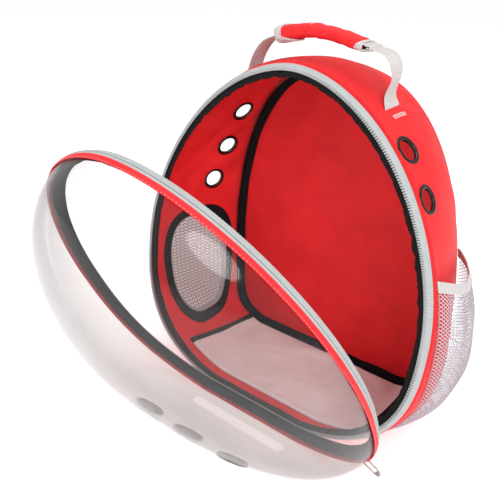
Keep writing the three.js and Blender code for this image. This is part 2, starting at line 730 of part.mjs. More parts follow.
function addDome() {
  const tip = (thickness) => closed(domeCentre.x, domeCentre.y, domeEdge.out + dome.depth - thickness);
  let shell = solid(bowl(domeRows(0), tip(0), domeRows(dome.thickness), tip(dome.thickness)));
  for (let k = 0; k < domeVent.count; k += 1) {
    const x = (k - (domeVent.count - 1) / 2) * domeVent.spacing;
    const { point, normal } = domeSpot(x, opening.lift + domeVent.height);
    shell = shell.subtract(drill(domeVent.radius + gap, 8 * domeVent.thickness, point, normal));
    const [low, high] = [-0.5, 0.5].map((share) => share * domeVent.thickness - domeVent.sink);
    const ring = washer(domeVent.hole, domeVent.radius, low, high, domeVent.sides);
    add(cover, `dome_vent_ring_${k + 1}`, ring.applyMatrix4(facing(point, normal)), materials.grille);
    const across = domeVent.hole - gap;
    const disc = new THREE.CylinderGeometry(across, across, 1, domeVent.sides);
    disc.translate(0, -domeVent.sink, 0);
    add(cover, `dome_vent_mesh_${k + 1}`, disc.applyMatrix4(facing(point, normal)), materials.grille);
  }
  add(cover, 'dome', geometryOf(shell), materials.clear);
}

function addCoverRim() {
  add(cover, 'cover_teeth', rim(teethSection, closed), materials.teeth);
  add(cover, 'cover_tape', rim(tapeSection, closed), materials.paleTape);
  add(cover, 'cover_binding', rim(bindingSection(coverBinding), closed), materials.blackTape);
  const bandSection = [
    { inset: band.inset, out: bandStart },
    { inset: band.inset, out: bandStart + band.width },
    { inset: band.inset + band.thickness, out: bandStart + band.width },
    { inset: band.inset + band.thickness, out: bandStart },
  ];
  add(cover, 'cover_band', rim(bandSection, closed), materials.redBand);
}

// The slider sits on the cover's tape near the hinge's right end, and its pull lies outward from it.
function addSlider() {
  const low = Math.floor(slider.station * stations);
  const [before, after] = [openingOutline[low], openingOutline[low + 1]];
  const spot = before.clone().lerp(after, slider.station * stations - low);
  const along = after.clone().sub(before).normalize();
  const outward = new THREE.Vector2(-along.y, along.x);
  const place = (from, run, beyond, out) => {
    const p = spot.clone().addScaledVector(from.along, run).addScaledVector(from.outward, beyond);
    return closed(p.x, p.y, out);
  };
  const square = { along, outward };
  const inner = -tapeEnd.inset - slider.proud;
  const outer = inner + slider.width;
  const [foot, top] = [slider.clear, slider.clear + slider.thickness];
  const block = [-0.5, 0.5].map((share) => [
    place(square, share * slider.length, inner, foot), place(square, share * slider.length, outer, foot),
    place(square, share * slider.length, outer, top), place(square, share * slider.length, inner, top),
  ]);
  add(cover, 'zip_slider', sweep(block, false), materials.metal);

  const turned = {
    along: along.clone().rotateAround(new THREE.Vector2(), pull.turn * degree),
    outward: outward.clone().rotateAround(new THREE.Vector2(), pull.turn * degree),
  };
  const corner = (pull.width / 2) * Math.sin(pull.turn * degree);
  const start = (outer + gap + corner) / Math.cos(pull.turn * degree);
  const [reach, rise] = direction(pull.drop);
  const tab = [0, 1].map((share) => {
    const far = start + share * pull.length * reach;
    const out = slider.clear + (slider.thickness - pull.thickness) / 2 + share * pull.length * rise;
    return [
      place(turned, -pull.width / 2, far, out), place(turned, pull.width / 2, far, out),
      place(turned, pull.width / 2, far, out + pull.thickness),
      place(turned, -pull.width / 2, far, out + pull.thickness),
    ];
  });
  add(cover, 'zip_pull', sweep(tab, false), materials.metal);
}

// The angle at which the open cover's lowest point meets the floor.
function restAngle() {
  const points = [];
  cover.traverse((child) => {
    if (!child.isMesh) return;
    const { position } = child.geometry.attributes;
    for (let k = 0; k < position.count; k += 1) {
      points.push(new THREE.Vector3().fromBufferAttribute(position, k));
    }
  });
  const height = (p, angle) => hinge.z + p.y * Math.sin(angle) + p.z * Math.cos(angle);
  const lowest = (angle) => Math.min(...points.map((p) => height(p, angle)));
  let [shut, open] = [0, 80 * degree];
  for (let k = 0; k < 40; k += 1) {
    const middle = (shut + open) / 2;
    if (lowest(middle) > 0) shut = middle;
    else open = middle;
  }
  return shut;
}

addWall();
addWindow();
addPanel();
addMat();
addFrontRim();
addPocket();
addHandle();
addStraps();
addDome();
addCoverRim();
addSlider();

cover.position.copy(hinge);
cover.rotation.x = restAngle();
bag.add(cover);

export default bag;
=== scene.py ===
import math

import bpy
import numpy as np
from mathutils import Matrix, Vector


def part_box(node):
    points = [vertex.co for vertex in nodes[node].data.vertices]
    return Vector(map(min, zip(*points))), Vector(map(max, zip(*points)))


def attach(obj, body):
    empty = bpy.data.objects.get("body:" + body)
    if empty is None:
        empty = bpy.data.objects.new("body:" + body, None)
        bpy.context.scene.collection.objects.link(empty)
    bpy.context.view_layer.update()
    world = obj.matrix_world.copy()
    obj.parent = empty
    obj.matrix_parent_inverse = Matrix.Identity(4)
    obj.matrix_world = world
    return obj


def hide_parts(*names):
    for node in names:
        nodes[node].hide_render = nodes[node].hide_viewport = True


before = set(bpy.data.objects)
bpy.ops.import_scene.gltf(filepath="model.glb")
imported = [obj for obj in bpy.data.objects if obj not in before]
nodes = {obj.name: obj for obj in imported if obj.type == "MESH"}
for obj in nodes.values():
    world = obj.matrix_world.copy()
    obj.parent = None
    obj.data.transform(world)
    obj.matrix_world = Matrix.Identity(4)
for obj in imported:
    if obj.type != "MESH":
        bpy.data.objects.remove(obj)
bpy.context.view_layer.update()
fullTurn = 2 * math.pi
print("frame loaded")

# The two egg outlines and the wall between them, as the model has them, in metres.
openingShape = {
    "halfWidth": 0.203, "height": 0.420, "waist": 0.170, "topPower": 1.85, "footPower": 2.65,
    "lean": 7.0, "lift": 0.0065, "pressed": 0.004, "y": -0.0895,
}
rearShape = {
    "halfWidth": 0.168, "height": 0.410, "waist": 0.100, "topPower": 2.4, "footPower": 4.4,
    "lean": -1.5, "lift": 0.0, "pressed": 0.004, "y": 0.0895,
}
wallSize = {"bulge": 0.007, "lip": 0.0108, "thickness": 0.002, "around": 440, "deep": 62}
coverTurn = 33.737  # degrees that the cover is open
hingeInset = 0.0119


def unit(vectors):
    return vectors / np.linalg.norm(vectors, axis=-1, keepdims=True)


def rounded(power):
    # a function that raises a value to a power and keeps its sign: below one it squares off a sine
    return lambda value: np.sign(value) * np.abs(value) ** power


def walked(line):
    # distance walked along a line of points, at each of them
    return np.concatenate([[0], np.cumsum(np.linalg.norm(np.diff(line, axis=0), axis=1))])


def egg(shape, turn):
    # x and height are powers of the angle's cosine and sine, with another power and reach below the waist
    angle = math.pi / 2 - fullTurn * turn
    c, s = np.cos(angle), np.sin(angle)
    power = 2 / np.where(s >= 0, shape["topPower"], shape["footPower"])
    reach = np.where(s >= 0, shape["height"] - shape["waist"], shape["waist"])
    x = shape["halfWidth"] * np.sign(c) * np.abs(c) ** power
    up = shape["waist"] + reach * np.sign(s) * np.abs(s) ** power
    return x, shape["lift"] + np.maximum(0, up - shape["pressed"])


def insetEgg(shape, turn, inset):
    # the outline moved inward, square to its own direction
    step = 2e-4
    ahead, behind = egg(shape, turn + step), egg(shape, turn - step)
    alongX, alongUp = ahead[0] - behind[0], ahead[1] - behind[1]
    length = np.hypot(alongX, alongUp)
    x, up = egg(shape, turn)
    return x + inset * alongUp / length, up - inset * alongX / length


def evenTurns(count):
    # turns spaced evenly along the mean of both outlines
    turn = np.linspace(0, 1, 6001)
    first, second = egg(openingShape, turn), egg(rearShape, turn)
    x, up = (first[0] + second[0]) / 2, (first[1] + second[1]) / 2
    run = np.concatenate([[0], np.cumsum(np.hypot(np.diff(x), np.diff(up)))])
    return np.interp(np.linspace(0, run[-1], count, endpoint=False), run, turn)


def planePoint(shape, x, up, out):
    # a point of the leaning plane, moved out in front of it
    x, up, out = np.broadcast_arrays(x, up, out)
    c, s = math.cos(math.radians(shape["lean"])), math.sin(math.radians(shape["lean"]))
    return np.stack([x, shape["y"] + up * s - out * c, up * c + out * s], -1)


hinge = planePoint(openingShape, 0, openingShape["lift"] + hingeInset, 0)


def bagPlace(x, up, out):
    # the bag's half of the zip lies behind the opening's plane and never below the floor
    point = planePoint(openingShape, x, up, -out)
    point[..., 2] = np.maximum(point[..., 2], 0)
    return point


def coverPlace(x, up, out):
    # the cover is laid out closed, then turned about its hinge line
    point = planePoint(openingShape, x, up, out) - hinge
    c, s = math.cos(math.radians(coverTurn)), math.sin(math.radians(coverTurn))
    y, z = point[..., 1] * c - point[..., 2] * s, point[..., 1] * s + point[..., 2] * c
    return np.stack([point[..., 0], y, z], -1) + hinge


def flatWall(turn, share):
    # straight from the opening's lip to the rear outline
    turn, share = np.broadcast_arrays(turn, share)
    front = planePoint(openingShape, *egg(openingShape, turn), -wallSize["lip"])
    back = planePoint(rearShape, *egg(rearShape, turn), 0)
    return front + (back - front) * share[..., None]


def wallNormal(turn, share):
    step = 1e-3
    around = flatWall(turn + step, share) - flatWall(turn - step, share)
    deep = flatWall(turn, share + step) - flatWall(turn, share - step)
    return unit(np.cross(around, deep))


def wallPoint(turn, share, inward=0.0):
    # the straight wall plus a swell that is highest half way, pressed flat on the floor
    normal = wallNormal(turn, share)
    swell = wallSize["bulge"] * np.sin(math.pi * np.broadcast_to(share, normal.shape[:-1]))
    point = flatWall(turn, share) + normal * swell[..., None]
    point[..., 2] = np.maximum(point[..., 2], 0)
    return point - normal * inward


def findWall(first, second, wanted, turn, share):
    # Newton's steps on turn and share, until two coordinates of the wall's point are the wanted ones
    step = 1e-4
    for _ in range(9):
        here = wallPoint(turn, share)
        byTurn = (wallPoint(turn + step, share) - here) / step
        byShare = (wallPoint(turn, share + step) - here) / step
        missA, missB = wanted[0] - here[..., first], wanted[1] - here[..., second]
        size = byTurn[..., first] * byShare[..., second] - byTurn[..., second] * byShare[..., first]
        stepTurn = (missA * byShare[..., second] - missB * byShare[..., first]) / size
        stepShare = (byTurn[..., first] * missB - byTurn[..., second] * missA) / size
        turn = turn + np.clip(stepTurn, -0.02, 0.02)
        share = share + np.clip(stepShare, -0.2, 0.2)
    return turn, share


def sideSpot(side, y, z):
    # point and normal of the left (-1) or right (1) wall at a depth and height
    y, z = np.broadcast_arrays(np.asarray(y, float), np.asarray(z, float))
    turns = np.linspace(0.03, 0.47, 200)
    heights = wallPoint(turns, 0.5)[:, 2]
    guess = np.interp(z, heights[::-1], turns[::-1])
    turn, share = findWall(1, 2, (y, z), guess, np.clip((y + 0.07) / 0.155, 0.05, 0.95))
    return mirrorTo(side, turn, share)


def topSpot(x, y):
    # point and normal of the top of the bag over a place
    x, y = np.broadcast_arrays(np.asarray(x, float), np.asarray(y, float))
    turns = np.linspace(0, 0.24, 120)
    guess = np.interp(np.abs(x), wallPoint(turns, 0.5)[:, 0], turns)
    turn, share = findWall(0, 1, (np.abs(x), y), guess, np.clip((y + 0.03) / 0.1, 0.05, 0.95))
    return mirrorTo(np.where(x < 0, -1, 1), turn, share)


def mirrorTo(side, turn, share):
    flip = np.stack(np.broadcast_arrays(side, 1, 1, turn)[:3], -1)
    return wallPoint(turn, share) * flip, wallNormal(turn, share) * flip


def ripple(points, length, seed, waves=8):
    # a sum of plane waves in seeded directions, about one wave length across
    rng = np.random.default_rng(seed)
    total = np.zeros(points.shape[:-1])
    for _ in range(waves):
        heading = rng.normal(size=3)
        heading /= np.linalg.norm(heading) * length * rng.uniform(0.7, 1.5)
        total += np.sin(fullTurn * (points @ heading) + rng.uniform(0, fullTurn))
    return total / math.sqrt(waves)


# Meshes from grids.
def gridFaces(rows, columns, closeRows, closeColumns):
    i, k = np.meshgrid(
        np.arange(rows if closeRows else rows - 1),
        np.arange(columns if closeColumns else columns - 1), indexing="ij")
    i, k = i.ravel(), k.ravel()
    iNext, kNext = (i + 1) % rows, (k + 1) % columns
    faces = np.stack([i * columns + k, i * columns + kNext, iNext * columns + kNext, iNext * columns + k], -1)
    corners = np.stack([np.stack([i, i, i + 1, i + 1], -1), np.stack([k, k + 1, k + 1, k], -1)], -1)
    return faces, corners


def runOf(points, closed):
    # mean distance walked along the first direction of a grid
    steps = np.diff(points, axis=0)
    if closed:
        steps = np.concatenate([steps, points[:1] - points[-1:]])
    lengths = np.linalg.norm(steps, axis=-1).reshape(len(steps), -1).mean(1)
    return np.concatenate([[0], np.cumsum(lengths)])


def gridMesh(name, points, closeRows=False, closeColumns=False, caps=False, keep=None, inside=None):
    # points is rows x columns x 3; uv holds metres along rows and columns
    rows, columns = points.shape[:2]
    faces, corners = gridFaces(rows, columns, closeRows, closeColumns)
    uRun, vRun = runOf(points, closeRows), runOf(points.swapaxes(0, 1), closeColumns)
    uv = np.stack([uRun[corners[..., 0]], vRun[corners[..., 1]]], -1)
    flat = points.reshape(-1, 3)
    if keep is not None:
        chosen = keep(flat[faces].mean(1))
        faces, uv = faces[chosen], uv[chosen]
    extra = []
    if caps:
        extra = [np.arange(columns)[::-1], np.arange(columns) + (rows - 1) * columns]
    return meshFrom(name, flat, faces, uv, extra, inside)


def meshFrom(name, points, faces, uv, extra=(), inside=None):
    # turns every face over where the surface would face inward
    a, b, c = (points[faces[:, k]] for k in (0, 1, 2))
    areas = np.cross(b - a, c - a)
    if faces.shape[1] == 4:
        areas = areas + np.cross(c - a, points[faces[:, 3]] - a)
    centre = points.mean(0) if inside is None else np.asarray(inside, float)
    if ((a - centre) * areas).sum() < 0:
        faces, uv = faces[:, ::-1], uv[:, ::-1]
        extra = [np.asarray(ring)[::-1] for ring in extra]
    every = np.concatenate([faces.ravel(), *[np.asarray(ring) for ring in extra]])
    used, index = np.unique(every, return_inverse=True)
    loops = index[:faces.size].reshape(faces.shape).tolist()
    rest = index[faces.size:]
    for ring in extra:
        loops.append(rest[:len(ring)].tolist())
        rest = rest[len(ring):]
    mesh = bpy.data.meshes.new(name)
    mesh.from_pydata(points[used].tolist(), [], loops)
    layer = mesh.uv_layers.new(name="metres")
    values = np.zeros((len(mesh.loops), 2))
    values[:faces.size] = uv.reshape(-1, 2)
    layer.data.foreach_set("uv", values.ravel())
    mesh.polygons.foreach_set("use_smooth", np.ones(len(mesh.polygons), bool))
    mesh.update()
    return mesh


def tubesMesh(name, points):
    # many tubes in one mesh, as tubes x samples x sides x 3, each closed at both ends
    count, samples, sides = points.shape[:3]
    faces, _ = gridFaces(samples, sides, False, True)
    every = (faces[None] + samples * sides * np.arange(count)[:, None, None]).reshape(-1, 4)
    ends = [np.arange(sides)[::-1] + w * samples * sides for w in range(count)]
    ends += [np.arange(sides) + (w * samples + samples - 1) * sides for w in range(count)]
    return meshFrom(name, points.reshape(-1, 3), every, np.zeros((len(every), 4, 2)), ends)


def scatterMesh(name, template, places):
    # one small shape at every place, where a place is an origin and three axes
    points, faces = template
    origin, axes = places
    spots = np.einsum("pk,nkj->npj", points, axes) + origin[:, None]
    count = len(points)
    every = faces[None] + count * np.arange(len(origin))[:, None, None]
    uv = np.zeros((every.shape[0] * every.shape[1], faces.shape[1], 2))
    mesh = bpy.data.meshes.new(name)
    mesh.from_pydata(spots.reshape(-1, 3).tolist(), [], every.reshape(-1, faces.shape[1]).tolist())
    layer = mesh.uv_layers.new(name="metres")
    layer.data.foreach_set("uv", uv.ravel())
    mesh.polygons.foreach_set("use_smooth", np.ones(len(mesh.polygons), bool))
    mesh.update()
    return mesh


def bead(around=8, rings=4, power=0.6):
    # a rounded bar between -1 and 1 on each axis: powers of sine and cosine, closed at both tips
    turn = np.linspace(0, fullTurn, around, endpoint=False)
    slope = np.linspace(-math.pi / 2, math.pi / 2, rings + 2)[1:-1]
    soft = rounded(power)
    y = soft(np.cos(slope))[:, None] * soft(np.cos(turn))
    z = soft(np.cos(slope))[:, None] * soft(np.sin(turn))
    x = np.broadcast_to(soft(np.sin(slope))[:, None], y.shape)
    points = np.concatenate([np.stack([x, y, z], -1).reshape(-1, 3), [[-1, 0, 0], [1, 0, 0]]])
    k = np.arange(around)
    after = (k + 1) % around
    faces = [np.stack([k * 0 + rings * around, after, k], -1)]
    for ring in range(rings - 1):
        low, high = ring * around, (ring + 1) * around
        faces.append(np.stack([low + k, low + after, high + after], -1))
        faces.append(np.stack([low + k, high + after, high + k], -1))
    last = (rings - 1) * around
    faces.append(np.stack([last + k, last + after, k * 0 + rings * around + 1], -1))
    return points, np.concatenate(faces)


def lathe(centre, axis, profile, count):
    # the profile of radii and heights, turned round an axis
    side = unit(np.cross(axis, [0.0, 0.0, 1.0] if abs(axis[2]) < 0.9 else [1.0, 0.0, 0.0]))
    other = np.cross(axis, side)
    turn = np.linspace(0, fullTurn, count, endpoint=False)[:, None, None]
    radius, height = np.array(profile).T[:, None, :, None] / 1000
    return centre + radius * (np.cos(turn) * side + np.sin(turn) * other) + height * axis


def polar(points, tips):
    # closes a grid of loops (columns run from tip to tip) with one point at each end
    around, columns = points.shape[:2]
    faces, _ = gridFaces(around, columns, True, False)
    flat = np.concatenate([points.reshape(-1, 3), tips])
    start, end = around * columns, around * columns + 1
    k = np.arange(around)
    after = (k + 1) % around
    first = np.stack([k * 0 + start, k * columns, after * columns], -1)
    last = np.stack([after * columns + columns - 1, k * columns + columns - 1, k * 0 + end], -1)
    return flat, faces, np.concatenate([first, last])


def polarMesh(name, points, flatUv, keep=None):
    # each tip is the mean of its loop; uv comes from the point itself by flatUv, so it has no seam
    tips = np.stack([points[:, 0].mean(0), points[:, -1].mean(0)])
    flat, faces, fans = polar(points, tips)
    if keep is not None:
        faces = faces[keep(flat[faces].mean(1))]
    a, b, c = (flat[faces[:, k]] for k in (0, 1, 2))
    turned = ((a - flat.mean(0)) * np.cross(b - a, c - a)).sum() < 0
    if turned:
        faces, fans = faces[:, ::-1], fans[:, ::-1]
    mesh = bpy.data.meshes.new(name)
    mesh.from_pydata(flat.tolist(), [], faces.tolist() + fans.tolist())
    layer = mesh.uv_layers.new(name="metres")
    order = np.concatenate([faces.ravel(), fans.ravel()])
    layer.data.foreach_set("uv", flatUv(flat)[order].ravel())
    mesh.polygons.foreach_set("use_smooth", np.ones(len(mesh.polygons), bool))
    mesh.update()
    return mesh


def addPiece(mesh, body, finish, stands=()):
    piece = bpy.data.objects.new(mesh.name, mesh)
    bpy.context.scene.collection.objects.link(piece)
    piece.data.materials.append(finish)
    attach(piece, body)
    if stands:
        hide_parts(*stands)
    return piece


def addBar(name, points, finish, stands=()):
    # a piece of the bag made of cross sections one after another, closed at both ends
    return addPiece(gridMesh(name, points, closeColumns=True, caps=True), "bag", finish, stands)


# Materials. A Number is a value in a material that ordinary sums can be written with.
class Number:
    def __init__(self, finish, socket):
        self.finish, self.socket = finish, socket

    def __add__(self, other):
        return self.finish.math("ADD", self, other)

    def __sub__(self, other):
        return self.finish.math("SUBTRACT", self, other)

    def __rsub__(self, other):
        return self.finish.math("SUBTRACT", other, self)

    def __mul__(self, other):
        return self.finish.math("MULTIPLY", self, other)

    def __pow__(self, other):
        return self.finish.math("POWER", self, other)

    __radd__, __rmul__ = __add__, __mul__


class Finish:
    def __init__(self, name, **fixed):
        self.material = bpy.data.materials.new(name)
        self.material.use_nodes = True
        self.nodes, self.links = self.material.node_tree.nodes, self.material.node_tree.links
        self.nodes.clear()
        self.end = self.nodes.new("ShaderNodeOutputMaterial")
        self.skin = self.nodes.new("ShaderNodeBsdfPrincipled")
        self.links.new(self.skin.outputs[0], self.end.inputs["Surface"])
        for socket, value in fixed.items():
            self.feed(self.skin.inputs[socket.replace("_", " ")], value)

    def feed(self, socket, value):
        if isinstance(value, Number):
            self.links.new(value.socket, socket)
        elif socket.type == "RGBA" and len(value) == 3:
            socket.default_value = (*value, 1.0)
        else:
            socket.default_value = value

    def node(self, kind, settings=None, sockets=None, output=0):
        made = self.nodes.new("ShaderNode" + kind)
        for key, value in (settings or {}).items():
            if key == "stops":
                self.setStops(made.color_ramp, value)
            else:
                setattr(made, key, value)
        for key, value in (sockets or {}).items():
            self.feed(made.inputs[key], value)
        return Number(self, made.outputs[output])

    def setStops(self, ramp, stops):
        while len(ramp.elements) < len(stops):
            ramp.elements.new(0.5)
        for element, (place, shade) in zip(ramp.elements, stops):
            element.position = place
            element.color = (shade, shade, shade, 1.0)

    def math(self, operation, first, second=0.0):
        return self.node("Math", {"operation": operation}, {0: first, 1: second})

    def mix(self, factor, first, second):
        return self.node("Mix", {"data_type": "RGBA"}, {0: factor, 6: first, 7: second}, 2)

    def uv(self):
        # metres along and across the piece
        spot = self.node("UVMap", {"uv_map": "metres"})
        parts = self.nodes.new("ShaderNodeSeparateXYZ")
        self.links.new(spot.socket, parts.inputs[0])
        return Number(self, parts.outputs[0]), Number(self, parts.outputs[1])

    def noise(self, scale, detail=3.0, output=0):
        spot = self.node("TexCoord", output="Object")
        return self.node("TexNoise", {}, {"Vector": spot, "Scale": scale, "Detail": detail}, output)

    def wave(self, run, pitch):
        # from 0 to 1 and back once every pitch
        return self.math("SINE", run * (fullTurn / pitch)) * 0.5 + 0.5

    def clamp(self, value, low, high, outLow=0.0, outHigh=1.0):
        return self.node("MapRange", {"clamp": True}, {
            "Value": value, "From Min": low, "From Max": high, "To Min": outLow, "To Max": outHigh})

    def colour(self, value):
        self.feed(self.skin.inputs["Base Color"], value)

    def rough(self, value):
        self.feed(self.skin.inputs["Roughness"], value)

    def bump(self, height, distance, strength=1.0):
        made = self.node("Bump", {}, {"Height": height, "Distance": distance, "Strength": strength})
        self.feed(self.skin.inputs["Normal"], made)


def clothFinish(name, dark, light, pitch, depth, sheen=0.15):
    # plain weave: two crossed sets of threads, a faint mottle with painted shade between the threads, and
    # larger soft creases
    f = Finish(name, Sheen_Weight=sheen, Sheen_Roughness=0.5, Specular_IOR_Level=0.28)
    u, v = f.uv()
    threads = f.wave(u, pitch) * f.wave(v, pitch)
    mottle = f.noise(26.0, 4.0)
    # colour: a random mottle, darkened a little between the threads as painted shade
    f.colour(f.mix(f.clamp(mottle * 0.85 + threads * 0.15, 0.3, 0.72), dark, light))
    f.rough(f.clamp(mottle, 0.3, 0.7, 0.5, 0.66))
    f.bump(threads * 0.5 + f.noise(70.0, 3.0) * 0.9, depth)
    return f.material


def ribFinish(name, dark, light, pitch, depth, sheen=0.1, roughness=0.6, gloss=0.3):
    # woven tape: ribs one way, finer threads the other way, with painted shade in the grooves between them
    f = Finish(name, Sheen_Weight=sheen, Sheen_Roughness=0.5, Specular_IOR_Level=gloss)
    u, v = f.uv()
    rib, thread = f.wave(u, pitch), f.wave(v, pitch * 0.6)
    # colour is darker in the grooves between ribs and threads as painted shade, with a random mottle on top
    shade = rib * 0.6 + thread * 0.2 + f.noise(120.0, 3.0) * 0.3
    f.colour(f.mix(f.clamp(shade, 0.15, 0.8), dark, light))
    f.rough(f.clamp(rib, 0, 1, roughness, roughness + 0.14))
    f.bump(rib * 0.8 + thread * 0.3, depth)
    return f.material


def knitFinish():
    # rows of slanted loops, with painted shade in the gaps between them
    f = Finish("knitNet", Sheen_Weight=0.2)
    u, v = f.uv()
    slant = f.math("PINGPONG", u, 0.0034) * 0.9
    loops = f.wave(v + slant + f.noise(90.0, 2.0) * 0.0026, 0.0048)
    posts = f.wave(u, 0.0068)
    gap = f.clamp(loops * 0.75 + posts * 0.25, 0.18, 0.5)
    # the dark grey is painted shade in the gaps between the loops; the pale grey is the thread
    f.colour(f.mix(gap, (0.17, 0.17, 0.175), (0.80, 0.81, 0.815)))
    f.rough(f.clamp(gap, 0, 1, 0.8, 0.62))
    f.bump(gap, 0.0007)
    return f.material


def pileFinish():
    f = Finish("matPile", Sheen_Weight=0.5, Sheen_Roughness=0.6)
    fine, broad = f.noise(900.0, 4.0), f.noise(24.0, 3.0)
    shade = f.clamp(fine * 0.4 + broad * 0.6, 0.32, 0.68)
    f.colour(f.mix(shade, (0.74, 0.62, 0.61), (0.87, 0.80, 0.79)))
    f.rough(f.clamp(fine, 0.3, 0.7, 0.86, 0.96))
    f.bump(fine * 0.6 + broad * 1.6, 0.0012)
    return f.material


def enamelFinish(name, dark, light, metallic, low, high):
    f = Finish(name, Metallic=metallic)
    worn, fine = f.noise(90.0, 4.0), f.noise(700.0, 2.0)
    f.colour(f.mix(f.clamp(worn, 0.4, 0.75), dark, light))
    f.rough(f.clamp(worn * 0.6 + fine * 0.4, 0.3, 0.7, low, high))
    f.bump(fine, 0.00004)
    return f.material


def threadFinish(name, colour):
    f = Finish(name, Sheen_Weight=0.2)
    grain = f.noise(1500.0, 2.0)
    f.colour(f.mix(grain, tuple(0.82 * c for c in colour), colour))
    f.rough(f.clamp(grain, 0.3, 0.7, 0.5, 0.68))
    f.bump(grain, 0.0002)
    return f.material


clearLook = {"veil": 0.035, "edge": 0.44, "power": 2.4, "tint": (0.50, 0.49, 0.49)}


def clearFinish():
    # mostly see-through, with a grey glossy skin that shows more where the sheet is seen at a slant
    f = Finish("clearSheet", IOR=1.47, Specular_IOR_Level=0.75, Metallic=0.75)
    smear = f.noise(9.0, 3.0)
    f.colour(f.mix(f.clamp(smear, 0.35, 0.7), clearLook["tint"], (0.42, 0.415, 0.42)))
    f.rough(f.clamp(smear, 0.3, 0.7, 0.05, 0.10))
    facing = f.node("LayerWeight", {}, {"Blend": 0.5}, "Facing")
    factor = facing ** clearLook["power"] * clearLook["edge"] + clearLook["veil"]
    through = f.node("BsdfTransparent", {}, {"Color": (0.932, 0.922, 0.918)})
    both = f.node("MixShader", {}, {0: factor, 1: through, 2: Number(f, f.skin.outputs[0])})
    f.links.new(both.socket, f.end.inputs["Surface"])
    return f.material


finishes = {
    "red": clothFinish("redCloth", (0.72, 0.010, 0.014), (0.88, 0.022, 0.026), 0.0009, 0.00035, 0.0),
    "redEdge": clothFinish("redEdge", (0.76, 0.012, 0.018), (0.90, 0.03, 0.035), 0.0007, 0.0001, 0.0),
    "black": ribFinish(
        "blackTape", (0.002, 0.002, 0.002), (0.013, 0.012, 0.013), 0.0015, 0.0004, sheen=0.0, gloss=0.12),
    "pale": ribFinish("paleTape", (0.34, 0.36, 0.355), (0.56, 0.58, 0.575), 0.0014, 0.0005),
    "web": ribFinish("paleWebbing", (0.52, 0.475, 0.455), (0.70, 0.66, 0.64), 0.0017, 0.0006),
    "strapWeb": ribFinish("blackWebbing", (0.008, 0.008, 0.009), (0.035, 0.035, 0.037), 0.0018, 0.0007),
    "knit": knitFinish(),
    "pile": pileFinish(),
    "eyelet": enamelFinish("eyeletEnamel", (0.035, 0.022, 0.018), (0.075, 0.05, 0.042), 0.85, 0.16, 0.34),
    "vent": enamelFinish("ventMetal", (0.10, 0.088, 0.076), (0.20, 0.18, 0.16), 0.9, 0.24, 0.42),
    "zip": enamelFinish("zipMetal", (0.52, 0.47, 0.43), (0.78, 0.74, 0.70), 1.0, 0.16, 0.34),
    "plastic": enamelFinish("buckle", (0.018, 0.018, 0.02), (0.035, 0.035, 0.038), 0.0, 0.38, 0.55),
    "teeth": threadFinish("zipCoil", (0.42, 0.44, 0.435)),
    "net": threadFinish("netThread", (0.60, 0.66, 0.72)),
    "roll": threadFinish("greyRoll", (0.40, 0.39, 0.39)),
    "whiteThread": threadFinish("whiteThread", (0.86, 0.84, 0.82)),
    "redThread": threadFinish("redThread", (0.45, 0.01, 0.015)),
    "clear": clearFinish(),
}
print("materials made")

# Fixtures whose place comes from the frame.
def discOf(node):
    # middle and axis of a flat round node: the axis is the direction that it is thinnest in
    spots = np.array([v.co for v in nodes[node].data.vertices])
    middle = (spots.min(0) + spots.max(0)) / 2
    axis = np.linalg.svd(spots - spots.mean(0), full_matrices=False)[2][2]
    return middle, axis * (1 if axis @ (middle - [0, middle[1], 0.2]) > 0 else -1)


eyeletNames = ["vent_left_1", "vent_left_2", "vent_left_3", "vent_right_1", "vent_right_2"]
eyeletDiscs = [discOf(name) for name in eyeletNames]
ventDiscs = [discOf(f"dome_vent_ring_{k}") for k in (1, 2, 3)]


def awayFrom(points, discs, radius):
    # true for points that are further than a radius from every disc's axis
    clear = np.ones(len(points), bool)
    for middle, axis in discs:
        offset = points - middle
        along = offset @ axis
        beside = np.linalg.norm(offset - along[:, None] * axis, axis=1)
        clear &= (beside > radius) | (np.abs(along) > 0.03)
    return clear


windowSize = {
    "height": 0.110, "halfHeight": 0.086, "halfWidth": 0.057, "share": 0.525, "power": 2.9, "border": 0.0115,
}


def depthAt(height, share):
    front = openingShape["y"] + height * math.tan(math.radians(openingShape["lean"])) + wallSize["lip"]
    back = rearShape["y"] + height * math.tan(math.radians(rearShape["lean"]))
    return front + (back - front) * share


windowY = depthAt(windowSize["height"], windowSize["share"])


def windowLoop(grow, turn):
    # the rounded window, as depth and height: powers of cosine and sine
    c, s = np.cos(turn), np.sin(turn)
    soft = rounded(2 / windowSize["power"])
    y = windowY + (windowSize["halfWidth"] + grow) * soft(c)
    return y, windowSize["height"] + (windowSize["halfHeight"] + grow) * soft(s)


def besideWindow(points):
    across = np.abs(points[:, 1] - windowY) / (windowSize["halfWidth"] - 0.0045)
    up = np.abs(points[:, 2] - windowSize["height"]) / (windowSize["halfHeight"] - 0.0045)
    return (points[:, 0] > 0) | (across ** windowSize["power"] + up ** windowSize["power"] > 1)


# Soft dips and creases of the bag's cloth: place on the wall, reach along and across, depth.
wallCreases = [
    {"turn": 0.815, "share": 0.62, "along": 0.012, "across": 0.28, "depth": 0.0040},
    {"turn": 0.845, "share": 0.50, "along": 0.010, "across": 0.22, "depth": -0.0026},
    {"turn": 0.875, "share": 0.80, "along": 0.013, "across": 0.20, "depth": 0.0036},
    {"turn": 0.945, "share": 0.45, "along": 0.020, "across": 0.35, "depth": -0.0018},
    {"turn": 0.075, "share": 0.62, "along": 0.014, "across": 0.30, "depth": 0.0022},
    {"turn": 0.140, "share": 0.55, "along": 0.018, "across": 0.35, "depth": -0.0018},
    {"turn": 0.215, "share": 0.45, "along": 0.013, "across": 0.30, "depth": 0.0020},
    {"turn": 0.395, "share": 0.55, "along": 0.016, "across": 0.30, "depth": 0.0014},
]


